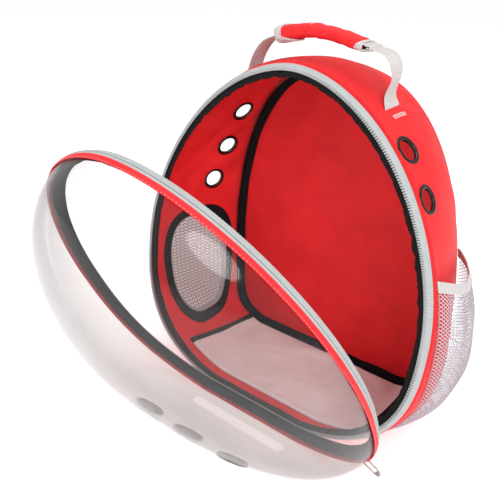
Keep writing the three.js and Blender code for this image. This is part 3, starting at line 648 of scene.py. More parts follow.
def clothDip(points, turn, share):
    # creases and ripples that die out at the sewn edges and beside the fixtures
    dip = 0.0009 * ripple(points, 0.11, 5) + 0.0004 * ripple(points, 0.045, 8)
    for crease in wallCreases:
        across = (share - crease["share"]) / crease["across"]
        along = (turn - crease["turn"] - 0.02 * across) / crease["along"]
        dip = dip + crease["depth"] * np.exp(-along ** 2 - across ** 2)
    edge = np.clip(np.minimum(share, 1 - share) / 0.12, 0, 1)
    calm = edge * edge * (3 - 2 * edge) * np.clip(points[..., 2] / 0.03, 0, 1)
    for middle, _ in eyeletDiscs:
        calm = calm * (1 - np.exp(-(np.linalg.norm(points - middle, axis=-1) / 0.021) ** 4))
    return dip * calm


def makeWall():
    # the wall's own formula on a fine grid, with the creases taken inward and openings left out
    turn, share = evenTurns(wallSize["around"])[:, None], np.linspace(0, 1, wallSize["deep"])[None]
    turn, share = np.broadcast_arrays(turn, share)
    points = wallPoint(turn, share)
    points = points - wallNormal(turn, share) * np.maximum(clothDip(points, turn, share), -0.002)[..., None]
    points[..., 2] = np.maximum(points[..., 2], 0)
    keep = lambda middles: awayFrom(middles, eyeletDiscs, 0.0129) & besideWindow(middles)
    mesh = gridMesh("bagCloth", points, closeRows=True, keep=keep, inside=(0, 0, 0.2))
    piece = addPiece(mesh, "bag", finishes["red"], ["side_wall"])
    shell = piece.modifiers.new("cloth thickness", "SOLIDIFY")
    shell.thickness, shell.offset = wallSize["thickness"], -1


makeWall()
print("wall made")

# The zip's tapes, teeth, edging and bindings. A section is inset and distance from the opening's plane.
tapeSize = {"length": 0.0073, "slope": 58, "thickness": 0.0012, "endInset": 0.00125, "endOut": 0.00696}
teethSize = {"inset": 0.0056, "width": 0.003, "thickness": 0.00205, "pitch": 0.0025, "gap": 0.00035}
bindingLines = {  # inset and distance from the opening's plane along the folded tape, in millimetres
    "front": [(15.5, 3.4), (12.5, 2.9), (9.5, 2.9), (7.2, 4.3), (5.8, 8.0), (4.9, 12.5), (4.4, 17.5)],
    "cover": [(13.0, 3.2), (11.0, 2.9), (9.3, 3.1), (7.8, 4.5), (6.9, 7.2), (6.4, 10.3), (6.0, 13.5)],
}
bindingThickness = 0.0013
bandSize = {"width": 0.0058, "start": 0.0105, "thickness": 0.0015, "inset": 0.0003}
pipingRadius = 0.00095
rimTurns = evenTurns(480)
tapeWay = (math.cos(math.radians(tapeSize["slope"])), math.sin(math.radians(tapeSize["slope"])))
tapeEnd = (tapeSize["endInset"], tapeSize["endOut"])
tapeStart = (tapeEnd[0] + tapeSize["length"] * tapeWay[0], tapeEnd[1] - tapeSize["length"] * tapeWay[1])


def stripSection(start, slope, length, thickness, relief, columns=15):
    # out along the outer face and back along the inner face; relief(a) lifts the outer face
    a = np.linspace(0, 1, columns)
    c, s = math.cos(math.radians(slope)), math.sin(math.radians(slope))
    rounding = thickness * 0.32 * (np.abs(2 * a - 1) ** 12)
    run = np.concatenate([a, a[::-1]]) * length
    rise = np.concatenate([relief(a) - rounding, -thickness + rounding])
    return start[0] - run * c - rise * s, start[1] + run * s - rise * c


def ring(name, place, section, wobble=None):
    # the section carried round the opening's outline; wobble adds to inset and out along the way
    inset, out = (np.broadcast_to(value, (len(rimTurns), len(section[0]))) for value in section)
    if wobble is not None:
        inset, out = inset + wobble[0], out + wobble[1]
    points = place(*insetEgg(openingShape, rimTurns[:, None], inset), out)
    return gridMesh(name, points, closeRows=True, closeColumns=True)


def foldedSection(line, thickness, columns=24):
    # a tape of even thickness along a line of points: one face out, the other face back
    knots = np.array(line) / 1000
    run = walked(knots)
    at = np.linspace(0, run[-1], columns)
    centre = np.stack([np.interp(at, run, knots[:, k]) for k in (0, 1)], -1)
    for _ in range(12):  # takes the corners off
        centre[1:-1] = (centre[:-2] + 2 * centre[1:-1] + centre[2:]) / 4
    along = unit(np.gradient(centre, axis=0))
    beside = np.stack([along[:, 1], -along[:, 0]], -1)
    rounding = 1 - 0.6 * np.abs(np.linspace(-1, 1, columns)) ** 14
    half = thickness / 2 * rounding[:, None]
    section = np.concatenate([centre + beside * half, (centre - beside * half)[::-1]])
    return section[:, 0], section[:, 1]


def tapeRelief(a):
    # a sewn ridge and a smooth raised selvedge along the outer third
    ridge = 0.00018 * np.exp(-((a - 0.45) / 0.06) ** 2)
    return ridge + 0.00025 / (1 + np.exp(-(a - 0.70) / 0.02))


def edgeWobble(section, reach, seed):
    # the edge of a binding that lies toward the cabin is frayed, and its other edge wanders a little
    spots = planePoint(openingShape, *egg(openingShape, rimTurns), 0)
    inner = np.clip((section[0] - 0.010) / 0.0055, 0, 1)
    outer = np.clip((section[1] - 0.006) / 0.0115, 0, 1)
    frayed = reach * (0.6 * ripple(spots, 0.012, seed) + 0.4 * ripple(spots, 0.005, seed + 1))
    wander = reach * (0.7 * ripple(spots, 0.05, seed + 2) + 0.3 * ripple(spots, 0.014, seed + 3))
    bend = 0.2 * reach * ripple(spots, 0.03, seed + 4)
    return frayed[:, None] * inner ** 2 + bend[:, None] * outer, wander[:, None] * outer ** 2


def toothPlaces(place, shift):
    # one tooth every pitch, long axis square to the tape
    count = int(round(1.17 / teethSize["pitch"]))
    whole = evenTurns(count * 2)
    turn = whole[shift::2]
    middle = (teethSize["inset"] + teethSize["width"] / 2, teethSize["gap"] + teethSize["thickness"] / 2)
    spots = place(*insetEgg(openingShape, turn, middle[0]), middle[1])
    inner = place(*insetEgg(openingShape, turn, middle[0] + 0.001), middle[1])
    ahead = place(*insetEgg(openingShape, turn + 1e-3, middle[0]), middle[1])
    across, along = unit(inner - spots), unit(ahead - spots)
    rise = unit(np.cross(across, along))
    along = np.cross(rise, across)
    lengths = np.array([teethSize["width"] * 0.62, teethSize["pitch"] * 0.47, teethSize["thickness"] * 0.56])
    return spots, np.stack([across, along, rise], 1) * lengths[None, :, None]


def makeRims():
    turn = np.linspace(0, fullTurn, 12, endpoint=False)
    tape = stripSection(
        tapeStart, tapeSize["slope"], tapeSize["length"], tapeSize["thickness"], tapeRelief, 21)
    piping = (
        tapeEnd[0] + 0.2 * pipingRadius + pipingRadius * np.cos(turn),
        tapeEnd[1] + pipingRadius + tapeSize["thickness"] + pipingRadius * np.sin(turn))
    for side, place in (("front", bagPlace), ("cover", coverPlace)):
        body = "bag" if side == "front" else "cover"
        addPiece(ring(f"{side}Tape", place, tape), body, finishes["pale"], [f"{side}_tape"])
        section = foldedSection(bindingLines[side], bindingThickness)
        wobble = edgeWobble(section, 0.0010, 11 if side == "cover" else 23)
        addPiece(
            ring(f"{side}Binding", place, section, wobble), body, finishes["black"],
            [f"{side}_binding"])
        teeth = scatterMesh(f"{side}Coil", bead(), toothPlaces(place, 0 if side == "front" else 1))
        addPiece(teeth, body, finishes["teeth"], [f"{side}_teeth"])
    collar = stripSection(
        (tapeEnd[0] - 0.0002, tapeEnd[1] + 0.0008), 88, 0.0026, tapeSize["thickness"], lambda a: 0 * a)
    addPiece(ring("coverCollar", coverPlace, collar), "cover", finishes["pale"])
    addPiece(
        ring("frontPiping", bagPlace, piping), "bag", finishes["redEdge"], ["front_piping"])
    a = np.linspace(-1, 1, 9)
    half, middle = bandSize["thickness"] / 2, bandSize["inset"] + bandSize["thickness"] / 2
    crown = half * np.sqrt(1 - 0.8 * a ** 4)
    band = (
        np.concatenate([middle - crown, (middle + crown)[::-1]]),
        np.concatenate([a, a[::-1]]) * bandSize["width"] / 2 + bandSize["start"] + bandSize["width"] / 2)
    addPiece(ring("coverBand", coverPlace, band), "cover", finishes["redEdge"], ["cover_band"])


makeRims()
print("zip and bindings made")


def stitchPlaces(line, outward, pitch, length, thickness):
    # short threads laid end to end along a line of points, each turned to its own direction
    run = walked(line)
    middles = np.arange(pitch / 2, run[-1], pitch)
    pick = lambda values, at: np.stack([np.interp(at, run, values[:, k]) for k in range(3)], -1)
    spots = pick(line, middles)
    along = unit(pick(line, middles + length / 2) - pick(line, middles - length / 2))
    rise = unit(pick(outward, middles))
    beside = unit(np.cross(rise, along))
    rise = np.cross(along, beside)
    sizes = np.array([length / 2, thickness / 2, thickness / 2])
    return spots, np.stack([along, beside, rise], 1) * sizes[None, :, None]


def addStitches(name, rows, body, finish):
    # several rows of stitches in one mesh
    places = [np.concatenate(parts) for parts in zip(*rows)]
    return addPiece(scatterMesh(name, bead(6, 2, 0.8), places), body, finish)


def rimStitches(place, inset, out, pitch, length, thickness):
    turn = np.append(evenTurns(500), 1.0)
    line = place(*insetEgg(openingShape, turn, inset), out)
    outward = line - place(*insetEgg(openingShape, turn, inset + 0.001), out)
    return stitchPlaces(line, outward, pitch, length, thickness)


def makeRimStitches():
    # one row on the cover's red band beside the sheet, one on the bag's lip beside the edging
    row = rimStitches(
        coverPlace, bandSize["inset"], bandSize["start"] + 0.86 * bandSize["width"], 0.0036, 0.0015, 0.0003)
    addStitches("bandStitches", [row], "cover", finishes["whiteThread"])
    row = rimStitches(bagPlace, 0.0002, wallSize["lip"] + 0.003, 0.0036, 0.0026, 0.0005)
    addStitches("lipStitches", [row], "bag", finishes["redThread"])


makeRimStitches()
print("rim stitches made")

# The clear cover: an oval bowl on the opening's outline.
domeSize = {"depth": 0.108, "thickness": 0.0016, "centre": 0.56, "rows": 92, "around": 380}


def domeFormula(turn, rise, thickness=0.0):
    # each loop is the rim shrunk by a cosine towards the middle and raised by the sine of the same angle
    edgeInset = bandSize["inset"] + bandSize["thickness"] + teethSize["gap"] + thickness
    edgeOut = tapeEnd[1] + tapeSize["thickness"] + teethSize["gap"] + 0.001
    x, up = insetEgg(openingShape, turn, edgeInset)
    middle = openingShape["lift"] + openingShape["height"] * domeSize["centre"]
    share = np.cos(rise * math.pi / 2)
    out = edgeOut + (domeSize["depth"] - thickness) * np.sin(rise * math.pi / 2)
    return coverPlace(x * share, middle + (up - middle) * share, out)


def makeDome():
    turn = evenTurns(domeSize["around"])[:, None]
    rise = np.linspace(0, 0.985, domeSize["rows"])[None]
    outer, inner = domeFormula(turn, rise), domeFormula(turn, rise, domeSize["thickness"])
    points = np.concatenate([inner[:, ::-1], outer], 1)  # from the inner tip to the rim and back
    keep = lambda middles: awayFrom(middles, ventDiscs, 0.0163)
    mesh = polarMesh("clearDome", points, lambda flat: flat[:, :2], keep)
    addPiece(mesh, "cover", finishes["clear"], ["dome"])


makeDome()
print("dome made")

# Eyelets, and the cover's vents with woven wire. Profiles are radius and height in millimetres.
eyeletProfile = [
    (15.5, 0.2), (15.3, 0.8), (14.6, 1.2), (13.3, 1.4), (12.1, 1.2), (11.3, 0.6),
    (11.0, -0.3), (11.0, -1.6), (11.3, -2.4), (12.1, -3.0), (13.3, -3.2),
    (14.6, -3.0), (15.3, -2.6), (15.5, -2.0), (13.6, -1.9), (13.4, -0.9), (13.6, 0.1),
]
ventProfile = [
    (18.0, 0.0), (17.9, 0.6), (17.3, 1.0), (16.4, 1.1), (15.5, 0.8), (15.0, 0.2),
    (14.9, -0.8), (15.0, -2.0), (15.6, -2.7), (16.5, -2.9), (17.5, -2.8),
    (18.0, -2.2), (16.6, -1.8), (16.5, -0.8), (16.7, -0.1),
]
wireSize = {"radius": 0.00042, "pitch": 0.0024, "reach": 0.0148}


def makeRings():
    for name, (middle, axis) in zip(eyeletNames, eyeletDiscs):
        outward = axis * np.sign(axis[0] * middle[0])
        seat = middle + outward * 0.0009  # the cloth's own face
        mesh = gridMesh("eyelet_" + name[5:], lathe(seat, outward, eyeletProfile, 72), True, True)
        addPiece(mesh, "bag", finishes["eyelet"], [name])
    for k, (middle, axis) in enumerate(ventDiscs, 1):
        seat = middle + axis * 0.001
        mesh = gridMesh(f"ventRing{k}", lathe(seat, axis, ventProfile, 96), True, True)
        addPiece(mesh, "cover", finishes["vent"], [f"dome_vent_ring_{k}"])
        addPiece(wireWeave(f"ventWire{k}", middle, axis), "cover", finishes["vent"],
                 [f"dome_vent_mesh_{k}"])


def wireWeave(name, middle, axis):
    # chords of the disc in two directions, each a thin tube that rises and falls over the others
    side = unit(np.cross(axis, [0.0, 0.0, 1.0]))
    first, second = unit(side + np.cross(axis, side)), unit(side - np.cross(axis, side))
    offsets = np.arange(-6, 6) * wireSize["pitch"] + wireSize["pitch"] / 2
    offsets = offsets[np.abs(offsets) < wireSize["reach"] * 0.97]
    half = np.sqrt(wireSize["reach"] ** 2 - offsets ** 2)
    share = np.linspace(-1, 1, 60)
    turn = np.linspace(0, fullTurn, 6, endpoint=False)
    allPoints = []
    for along, across, phase in ((first, second, 0.0), (second, first, math.pi)):
        run = half[:, None] * share
        order = np.arange(len(offsets))[:, None] * math.pi
        lift = wireSize["radius"] * np.cos(math.pi * run / wireSize["pitch"] + order + phase)
        spine = middle + run[..., None] * along + offsets[:, None, None] * across + lift[..., None] * axis
        round_ = np.cos(turn)[:, None] * across + np.sin(turn)[:, None] * axis
        allPoints.append(spine[:, :, None] + wireSize["radius"] * round_)
    return tubesMesh(name, np.concatenate(allPoints))


makeRings()
print("eyelets and vents made")

# The rear panel, its black corner binding, and the mat on the floor.
panelSize = {"edge": 0.0032, "recess": 0.0006, "thickness": 0.004, "loops": 46, "around": 300}
cornerSize = {"width": 0.0085, "leg": 0.0095, "thickness": 0.0014, "gap": 0.00035}
matSize = {
    "from": 19 / 48, "to": 29 / 48, "clear": 0.00255, "thickness": 0.004, "front": 0.0252, "rear": 0.0163,
}


def makePanel():
    # loops of the rear outline shrunk to its middle, with soft dents toward the cabin
    turn = evenTurns(panelSize["around"])[:, None]
    share = np.linspace(1, 0.015, panelSize["loops"])[None] ** 0.9
    x, up = insetEgg(rearShape, turn, panelSize["edge"])
    middle = 0.205
    x, up = x * share, middle + (up - middle) * share
    flatPoints = planePoint(rearShape, x, up, 0)
    calm = np.clip((1 - share) / 0.12, 0, 1)
    dents = 0.0011 * ripple(flatPoints, 0.17, 31) + 0.0004 * ripple(flatPoints, 0.07, 33)
    roll = 0.0012 * np.clip(1 - (1 - share) / 0.03, 0, 1) ** 2  # both faces fall to the sewn edge
    front = planePoint(rearShape, x, up, panelSize["recess"] + panelSize["thickness"] + dents * calm - roll)
    faint = 0.0004 * ripple(flatPoints, 0.1, 35)
    back = planePoint(rearShape, x, up, panelSize["recess"] + roll + faint * calm)
    points = np.concatenate([front[:, ::-1], back], 1)
    mesh = polarMesh("backCloth", points, lambda flat: flat[:, [0, 2]])
    piece = addPiece(mesh, "bag", finishes["red"], ["back_panel"])


def makeCorner():
    # a tape folded into the corner: its section hugs the corner as a hollow curve
    low = panelSize["recess"] + panelSize["thickness"] + cornerSize["gap"]
    a = np.linspace(0, 1, 15)
    inset, out = cornerSize["width"] * (1 - a) ** 2.3, cornerSize["leg"] * a ** 2.3
    normal = np.stack([np.gradient(out), -np.gradient(inset)])
    normal = normal / np.linalg.norm(normal, axis=0)
    inner = np.stack([inset, out]) + cornerSize["thickness"] * normal
    section = np.concatenate([np.stack([inset, out]), inner[:, ::-1]], 1)
    spots = planePoint(rearShape, *egg(rearShape, rimTurns), 0)
    wander = 0.0006 * ripple(spots, 0.04, 41)[:, None]
    far = (np.abs(section) / np.array([[cornerSize["width"]], [cornerSize["leg"]]])) ** 2
    inset = section[0] + wander * far[0] + panelSize["edge"] + cornerSize["gap"]
    out = section[1] + wander * far[1] + low
    points = planePoint(rearShape, *insetEgg(rearShape, rimTurns[:, None], inset), out)
    mesh = gridMesh("rearBinding", points, closeRows=True, closeColumns=True)
    addPiece(mesh, "bag", finishes["black"], ["back_binding"])


matFolds = [  # a place across and along the mat as shares, heading in degrees, width and height in metres
    {"across": 0.36, "along": 0.86, "heading": 20, "width": 0.012, "height": 0.0030},
    {"across": 0.46, "along": 0.92, "heading": -12, "width": 0.009, "height": 0.0034},
    {"across": 0.27, "along": 0.80, "heading": 35, "width": 0.014, "height": 0.0020},
    {"across": 0.70, "along": 0.60, "heading": 75, "width": 0.020, "height": 0.0014},
]


def makeMat():
    # the mat lies on the wall's inner face; its top has low folds near the rear panel
    rows, columns = 150, 90
    turn = np.interp(np.linspace(0, 1, rows), *matSpacing())[:, None]
    share = np.linspace(matSize["front"] / 0.179, 1 - matSize["rear"] / 0.179, columns)[None]
    turn, share = np.broadcast_arrays(turn, share)
    low = wallPoint(turn, share, matSize["clear"])
    spots = wallPoint(turn, share)
    across = np.broadcast_to(np.linspace(0, 1, rows)[:, None], share.shape)
    along = np.broadcast_to(np.linspace(0, 1, columns)[None], share.shape)
    rise = 0.0005 * ripple(spots, 0.05, 51) + 0.0003 * ripple(spots, 0.02, 52)
    for fold in matFolds:
        c, s = math.cos(math.radians(fold["heading"])), math.sin(math.radians(fold["heading"]))
        dx, dy = (across - fold["across"]) * 0.30, (along - fold["along"]) * 0.13
        beside, beyond = dx * -s + dy * c, dx * c + dy * s
        rise = rise + fold["height"] * np.exp(-(beside / fold["width"]) ** 2 - (beyond / 0.05) ** 2)
    edge = np.minimum(np.minimum(across, 1 - across) * 0.3, np.minimum(along, 1 - along) * 0.13)
    soft = np.sqrt(np.clip(edge / 0.003, 0, 1))
    normal = wallNormal(turn, share)
    swell = matSize["thickness"] * (0.35 + 0.65 * soft) + rise * np.clip(edge / 0.006, 0, 1)
    high = low - normal * swell[..., None]
    points = np.concatenate([low, high[:, ::-1]], 1)
    mesh = gridMesh("floorMat", points, closeColumns=True, caps=True)
    piece = addPiece(mesh, "bag", finishes["pile"], ["floor_mat"])
    matTrim(turn, share, normal)


def matSpacing():
    # even steps across the floor between the mat's two ends
    turn = np.linspace(matSize["from"], matSize["to"], 400)
    line = wallPoint(turn, 0.5)
    run = walked(line)
    return run / run[-1], turn


def matTrim(turn, share, normal):
    # black tape sewn over each side edge of the mat
    for name, row, step in (("Right", 0, 1), ("Left", -1, -1)):
        a = np.linspace(0, fullTurn, 16, endpoint=False)
        beside, inward = row + 3 * step, matSize["clear"] + matSize["thickness"] / 2
        middle = wallPoint(turn[row], share[row], inward)
        next_ = wallPoint(turn[beside], share[beside], inward)
        across, up = unit(middle - next_), -normal[row]
        flatRound = rounded(0.6)
        points = (middle[:, None] + flatRound(np.cos(a))[:, None] * across[:, None] * 0.0042
                  + flatRound(np.sin(a))[:, None] * up[:, None] * 0.0026)
        addBar(f"matTrim{name}", points, finishes["black"])


makePanel()
makeCorner()
makeMat()
print("panel and mat made")

# The window: a black ring, a knitted net in it and a grey roll where the net turns back.
def makeWindow():
    turn = np.linspace(0, fullTurn, 240, endpoint=False)[:, None]
    section = np.linspace(0, fullTurn, 22, endpoint=False)[None]
    soft = rounded(0.55)
    grow = -windowSize["border"] / 2 + soft(np.cos(section)) * windowSize["border"] / 2
    y, z = windowLoop(np.broadcast_to(grow, (240, 22)), turn)
    spot, normal = sideSpot(-1, y, z)
    edge = 0.0008 * ripple(spot, 0.03, 61)
    high = -0.0018 + 0.0029 * soft(np.sin(section)) + edge * 0.3
    mesh = gridMesh("windowBinding", spot + normal * high[..., None], closeRows=True, closeColumns=True)
    addPiece(mesh, "bag", finishes["black"], ["window_binding"])

    share = np.linspace(1, 0.02, 40)[None]
    y, z = windowLoop(-windowSize["border"] + 0.001, turn)
    y, z = windowY + (y - windowY) * share, windowSize["height"] + (z - windowSize["height"]) * share
    spot, normal = sideSpot(-1, y, z)
    swell = 0.0025 * np.sqrt(np.clip(1 - share ** 3, 0, 1)) + 0.0004 * ripple(spot, 0.035, 63)
    inner = spot - normal * (0.0022 + swell)[..., None]
    outer = spot - normal * (0.0008 + 0.4 * swell)[..., None]
    mesh = polarMesh("windowNet", np.concatenate([inner[:, ::-1], outer], 1), lambda flat: flat[:, 1:])
    addPiece(mesh, "bag", finishes["knit"], ["window_mesh"])

    heavy = np.clip(0.55 + 0.6 * np.cos(turn + 0.55), 0.12, 1)  # thickest at the rear foot
    radius = 0.0036 * heavy
    y, z = windowLoop(-windowSize["border"] - radius * 0.9, turn)
    spot, normal = sideSpot(-1, y, z)
    beside = unit(np.cross(np.roll(spot, -1, 0) - np.roll(spot, 1, 0), normal))
    points = (spot - normal * (0.0035 + 0.5 * radius)[..., None]
              + radius[..., None] * (
                  np.cos(section)[..., None] * beside + np.sin(section)[..., None] * normal * 0.8))
    mesh = gridMesh("windowRoll", points, closeRows=True, closeColumns=True)
    addPiece(mesh, "bag", finishes["roll"])


makeWindow()
print("window made")

# The side pocket: a net of crossed threads in a gathered edge.
pocketSize = {
    "frontMargin": 0.013, "rearMargin": 0.014, "foot": 0.026, "top": 0.226, "drop": 0.014, "bulge": 0.023,
    "clear": 0.0009, "thread": 0.00045, "pitch": 0.0029, "elastic": 0.012,
}


def pocketPoint(along, height, beyond):
    # the wall's own surface moved out by a swell that is highest at mid width and mid height
    front = depthAt(pocketSize["top"], 0) + pocketSize["frontMargin"] - wallSize["lip"]
    back = depthAt(pocketSize["top"], 1) - pocketSize["rearMargin"]
    y = front + (back - front) * along
    top = pocketSize["top"] - pocketSize["drop"] * (along + np.sin(math.pi * along))
    z = pocketSize["foot"] + (top - pocketSize["foot"]) * height
    across = np.sin(math.pi * np.clip(along, 0, 1)) ** 0.7
    tall = np.sin(math.pi * (0.72 * height + 0.04))
    spot, normal = sideSpot(1, y, z)
    folds = 0.0011 * ripple(spot, 0.045, 71) + 0.0006 * np.sin(fullTurn * 5 * along) * height
    swell = (pocketSize["bulge"] + folds) * across * tall
    return spot + normal * (pocketSize["clear"] + swell + beyond)[..., None]


def makePocket():
    # threads run along both diagonals of the net; each is a three-sided cord on the pocket's surface
    wide, tall, pitch = 0.118, 0.193, pocketSize["pitch"] * math.sqrt(2)
    share = np.linspace(0, 1, 70)[None]
    fineAlong, fineHigh = np.meshgrid(np.linspace(0, 1, 60), np.linspace(0, 1.0, 80), indexing="ij")
    table = pocketPoint(fineAlong, fineHigh, 0.0)
    strands = []
    for way in (1, -1):
        offsets = np.arange(-tall + pitch / 2, wide, pitch)[:, None]
        low, high = np.maximum(0, -offsets), np.minimum(tall, wide - offsets)
        v = low + (high - low) * share
        u = v + offsets
        u = u if way == 1 else wide - u
        weave = 0.0003 * way * np.cos(fullTurn * v / pitch)
        strands.append(lookUp(table, u / wide, v / tall, weave))
    mesh = tubesMesh("pocketNet", np.concatenate(strands))
    addPiece(mesh, "bag", finishes["net"], ["side_pocket"])

    along = np.linspace(0, 1, 180)[:, None]
    a = np.linspace(0, fullTurn, 20, endpoint=False)[None]
    soft = rounded(0.55)
    reach = pocketSize["elastic"] / (pocketSize["top"] - pocketSize["foot"])
    height = 1.003 + reach * (0.5 + 0.5 * soft(np.cos(a)))
    gather = 1 + 0.12 * np.sin(fullTurn * along * 34) * np.clip(np.cos(a), -1, 1)
    beyond = 0.0006 + 0.0012 * soft(np.sin(a)) * gather
    points = pocketPoint(*np.broadcast_arrays(along, height, beyond))
    addBar("pocketElastic", points, finishes["web"], ["pocket_elastic"])


def lookUp(table, along, height, beyond):
    # points of the pocket read between a fine table's own, and a small three-sided section round each
    def pick(a, h):
        a, h = np.clip(a, 0, 1) * (table.shape[0] - 1), np.clip(h, 0, 1) * (table.shape[1] - 1)
        i, k = np.minimum(a.astype(int), table.shape[0] - 2), np.minimum(h.astype(int), table.shape[1] - 2)
        p, q = (a - i)[..., None], (h - k)[..., None]
        low = table[i, k] * (1 - p) + table[i + 1, k] * p
        high = table[i, k + 1] * (1 - p) + table[i + 1, k + 1] * p
        return low * (1 - q) + high * q
    spot = pick(along, height)
    normal = unit(np.cross(pick(along + 0.01, height) - pick(along - 0.01, height),
                           pick(along, height + 0.01) - pick(along, height - 0.01)))
    normal = normal * np.sign(normal[..., :1])
    forward = unit(np.gradient(spot, axis=1))
    beside = np.cross(forward, normal)
    turn = np.array([0.5, 2.6, 4.7])
    section = (np.cos(turn)[:, None] * beside[..., None, :]
               + np.sin(turn)[:, None] * normal[..., None, :] * 0.7)
    return (spot + normal * beyond[..., None])[..., None, :] + pocketSize["thread"] * section


makePocket()
print("pocket made")

# The carrying handle, along an arch over the bag's top.
handleSize = {
    "share": 0.29, "halfSpan": 0.090, "offset": 0.009, "rise": 0.059, "width": 0.025, "thickness": 0.0018,
}
gripSize = {"start": 0.064, "length": 0.102, "width": 0.027, "thickness": 0.0135}
keeperSize = {"length": 0.014, "joint": 0.0006}
archTable = [  # side and height as shares of half the span and of the rise
    (-1.0, 0), (-0.91, 0.34), (-0.77, 0.61), (-0.56, 0.77), (-0.33, 0.88), (-0.04, 0.96), (0.3, 0.94),
    (0.6, 0.87), (0.73, 0.86), (0.88, 0.84), (0.98, 0.71), (1.01, 0.48), (0.96, 0.17), (1.0, 0),
]
handleY = depthAt(openingShape["height"], handleSize["share"])


def archLine():
    # a smooth curve through the table's points: each stretch bends by its neighbours' directions
    side, up = np.array(archTable).T
    feet = [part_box(f"handle_strap_{end}")[0].z for end in ("left", "right")]
    x = handleSize["offset"] + side * handleSize["halfSpan"]
    z = feet[0] + (feet[1] - feet[0]) * (side + 1) / 2 + up * handleSize["rise"]
    knots = np.stack([x, z], -1)
    slopes = np.gradient(knots, axis=0)
    t = np.linspace(0, len(knots) - 1, 900)
    i = np.minimum(t.astype(int), len(knots) - 2)
    p = (t - i)[:, None]
    line = ((2 * p ** 3 - 3 * p ** 2 + 1) * knots[i] + (p ** 3 - 2 * p ** 2 + p) * slopes[i]
            + (3 * p ** 2 - 2 * p ** 3) * knots[i + 1] + (p ** 3 - p ** 2) * slopes[i + 1])
    run = walked(line)
    return line, run


arch, archRun = archLine()


def alongArch(distance):
    # point and outward direction of the arch at distances from its left foot
    at = lambda run: np.array([np.interp(run, archRun, arch[:, k]) for k in (0, 1)])
    x, z = at(distance)
    step = 0.0008
    dx, dz = at(distance + step) - at(distance - step)
    length = np.hypot(dx, dz)
    spot = np.stack([x, np.full_like(x, handleY), z], -1)
    return spot, np.stack([-dz / length, np.zeros_like(x), dx / length], -1)


def ribbonPoints(distance, width, thickness, section=18, power=0.5):
    # a flat rounded section carried along the arch, of a width and thickness that may change on the way
    spot, outward = alongArch(distance)
    a = np.linspace(0, fullTurn, section, endpoint=False)[None, :, None]
    soft = rounded(power)
    across = np.array([0.0, 1.0, 0.0])
    width, thickness = np.broadcast_to(width, distance.shape), np.broadcast_to(thickness, distance.shape)
    high = soft(np.sin(a)) * thickness[:, None, None] / 2
    return spot[:, None] + outward[:, None] * high + soft(np.cos(a)) * width[:, None, None] / 2 * across


def settleFoot(points, distance, end):
    # the last rows come down onto the cloth, whatever its slope
    near = np.clip(1 - np.abs(distance - end) / 0.012, 0, 1)[:, None] ** 2
    ground = topSpot(points[..., 0], points[..., 1])[0][..., 2]
    fall = np.where(end > 0.1, points[-1:, :, 2], points[:1, :, 2])
    level = ground[-1:] if end > 0.1 else ground[:1]
    points[..., 2] += near * (level - fall - 0.0006)
    return points


def makeHandle():
    gripEnd = gripSize["start"] + gripSize["length"]
    total = archRun[-1]
    keeperStart = gripEnd + keeperSize["joint"]
    keeperEnd = keeperStart + keeperSize["length"]

    left = np.linspace(0, gripSize["start"] + 0.004, 70)
    points = settleFoot(ribbonPoints(left, handleSize["width"], handleSize["thickness"]), left, 0.0)
    addBar("handleWebLeft", points, finishes["web"], ["handle_strap_left"])

    right = np.linspace(keeperEnd - 0.006, total, 80)
    fromFoot = total - right
    waist, flare = np.exp(-((fromFoot - 0.024) / 0.013) ** 2), np.exp(-(fromFoot / 0.007) ** 2)
    pinch = 1 - 0.30 * waist + 0.16 * flare
    points = ribbonPoints(right, handleSize["width"] * pinch, handleSize["thickness"])
    points = settleFoot(points, right, total)
    addBar("handleWebRight", points, finishes["web"], ["handle_strap_right"])

    middle = np.linspace(gripSize["start"], gripEnd, 150)
    share = (middle - middle[0]) / gripSize["length"]
    ends = np.clip(np.minimum(share, 1 - share) / 0.035, 0, 1)
    full = 0.72 + 0.28 * np.sqrt(1 - (1 - ends) ** 2)
    full = full * (1.13 - 0.30 * share + 0.05 * np.cos(fullTurn * share))
    width = gripSize["width"] * (0.82 + 0.18 * full) * (1 - 0.10 * share)
    points = ribbonPoints(middle, width, gripSize["thickness"] * full, 48, 0.72)
    around = np.linspace(0, fullTurn, 48, endpoint=False)[None]
    spot, outward = alongArch(middle)
    away = unit(points - spot[:, None])
    lap = 0.0007 / (1 + np.exp(-(around - 1.1) / 0.05)) / (1 + np.exp((around - 4.4) / 0.05))  # overlap
    crumple = 0.0006 * ripple(points, 0.022, 81) + 0.0003 * ripple(points, 0.009, 82)
    points = points + away * (lap + crumple * ends[:, None])[..., None]
    grip = addBar("handleGrip", points, finishes["red"], ["handle_grip"])
    makeWrap(width[0], gripSize["thickness"] * full[20])
    makeKeeper(keeperStart, width[-1])
    makeGripSeam(middle, width, gripSize["thickness"] * full)


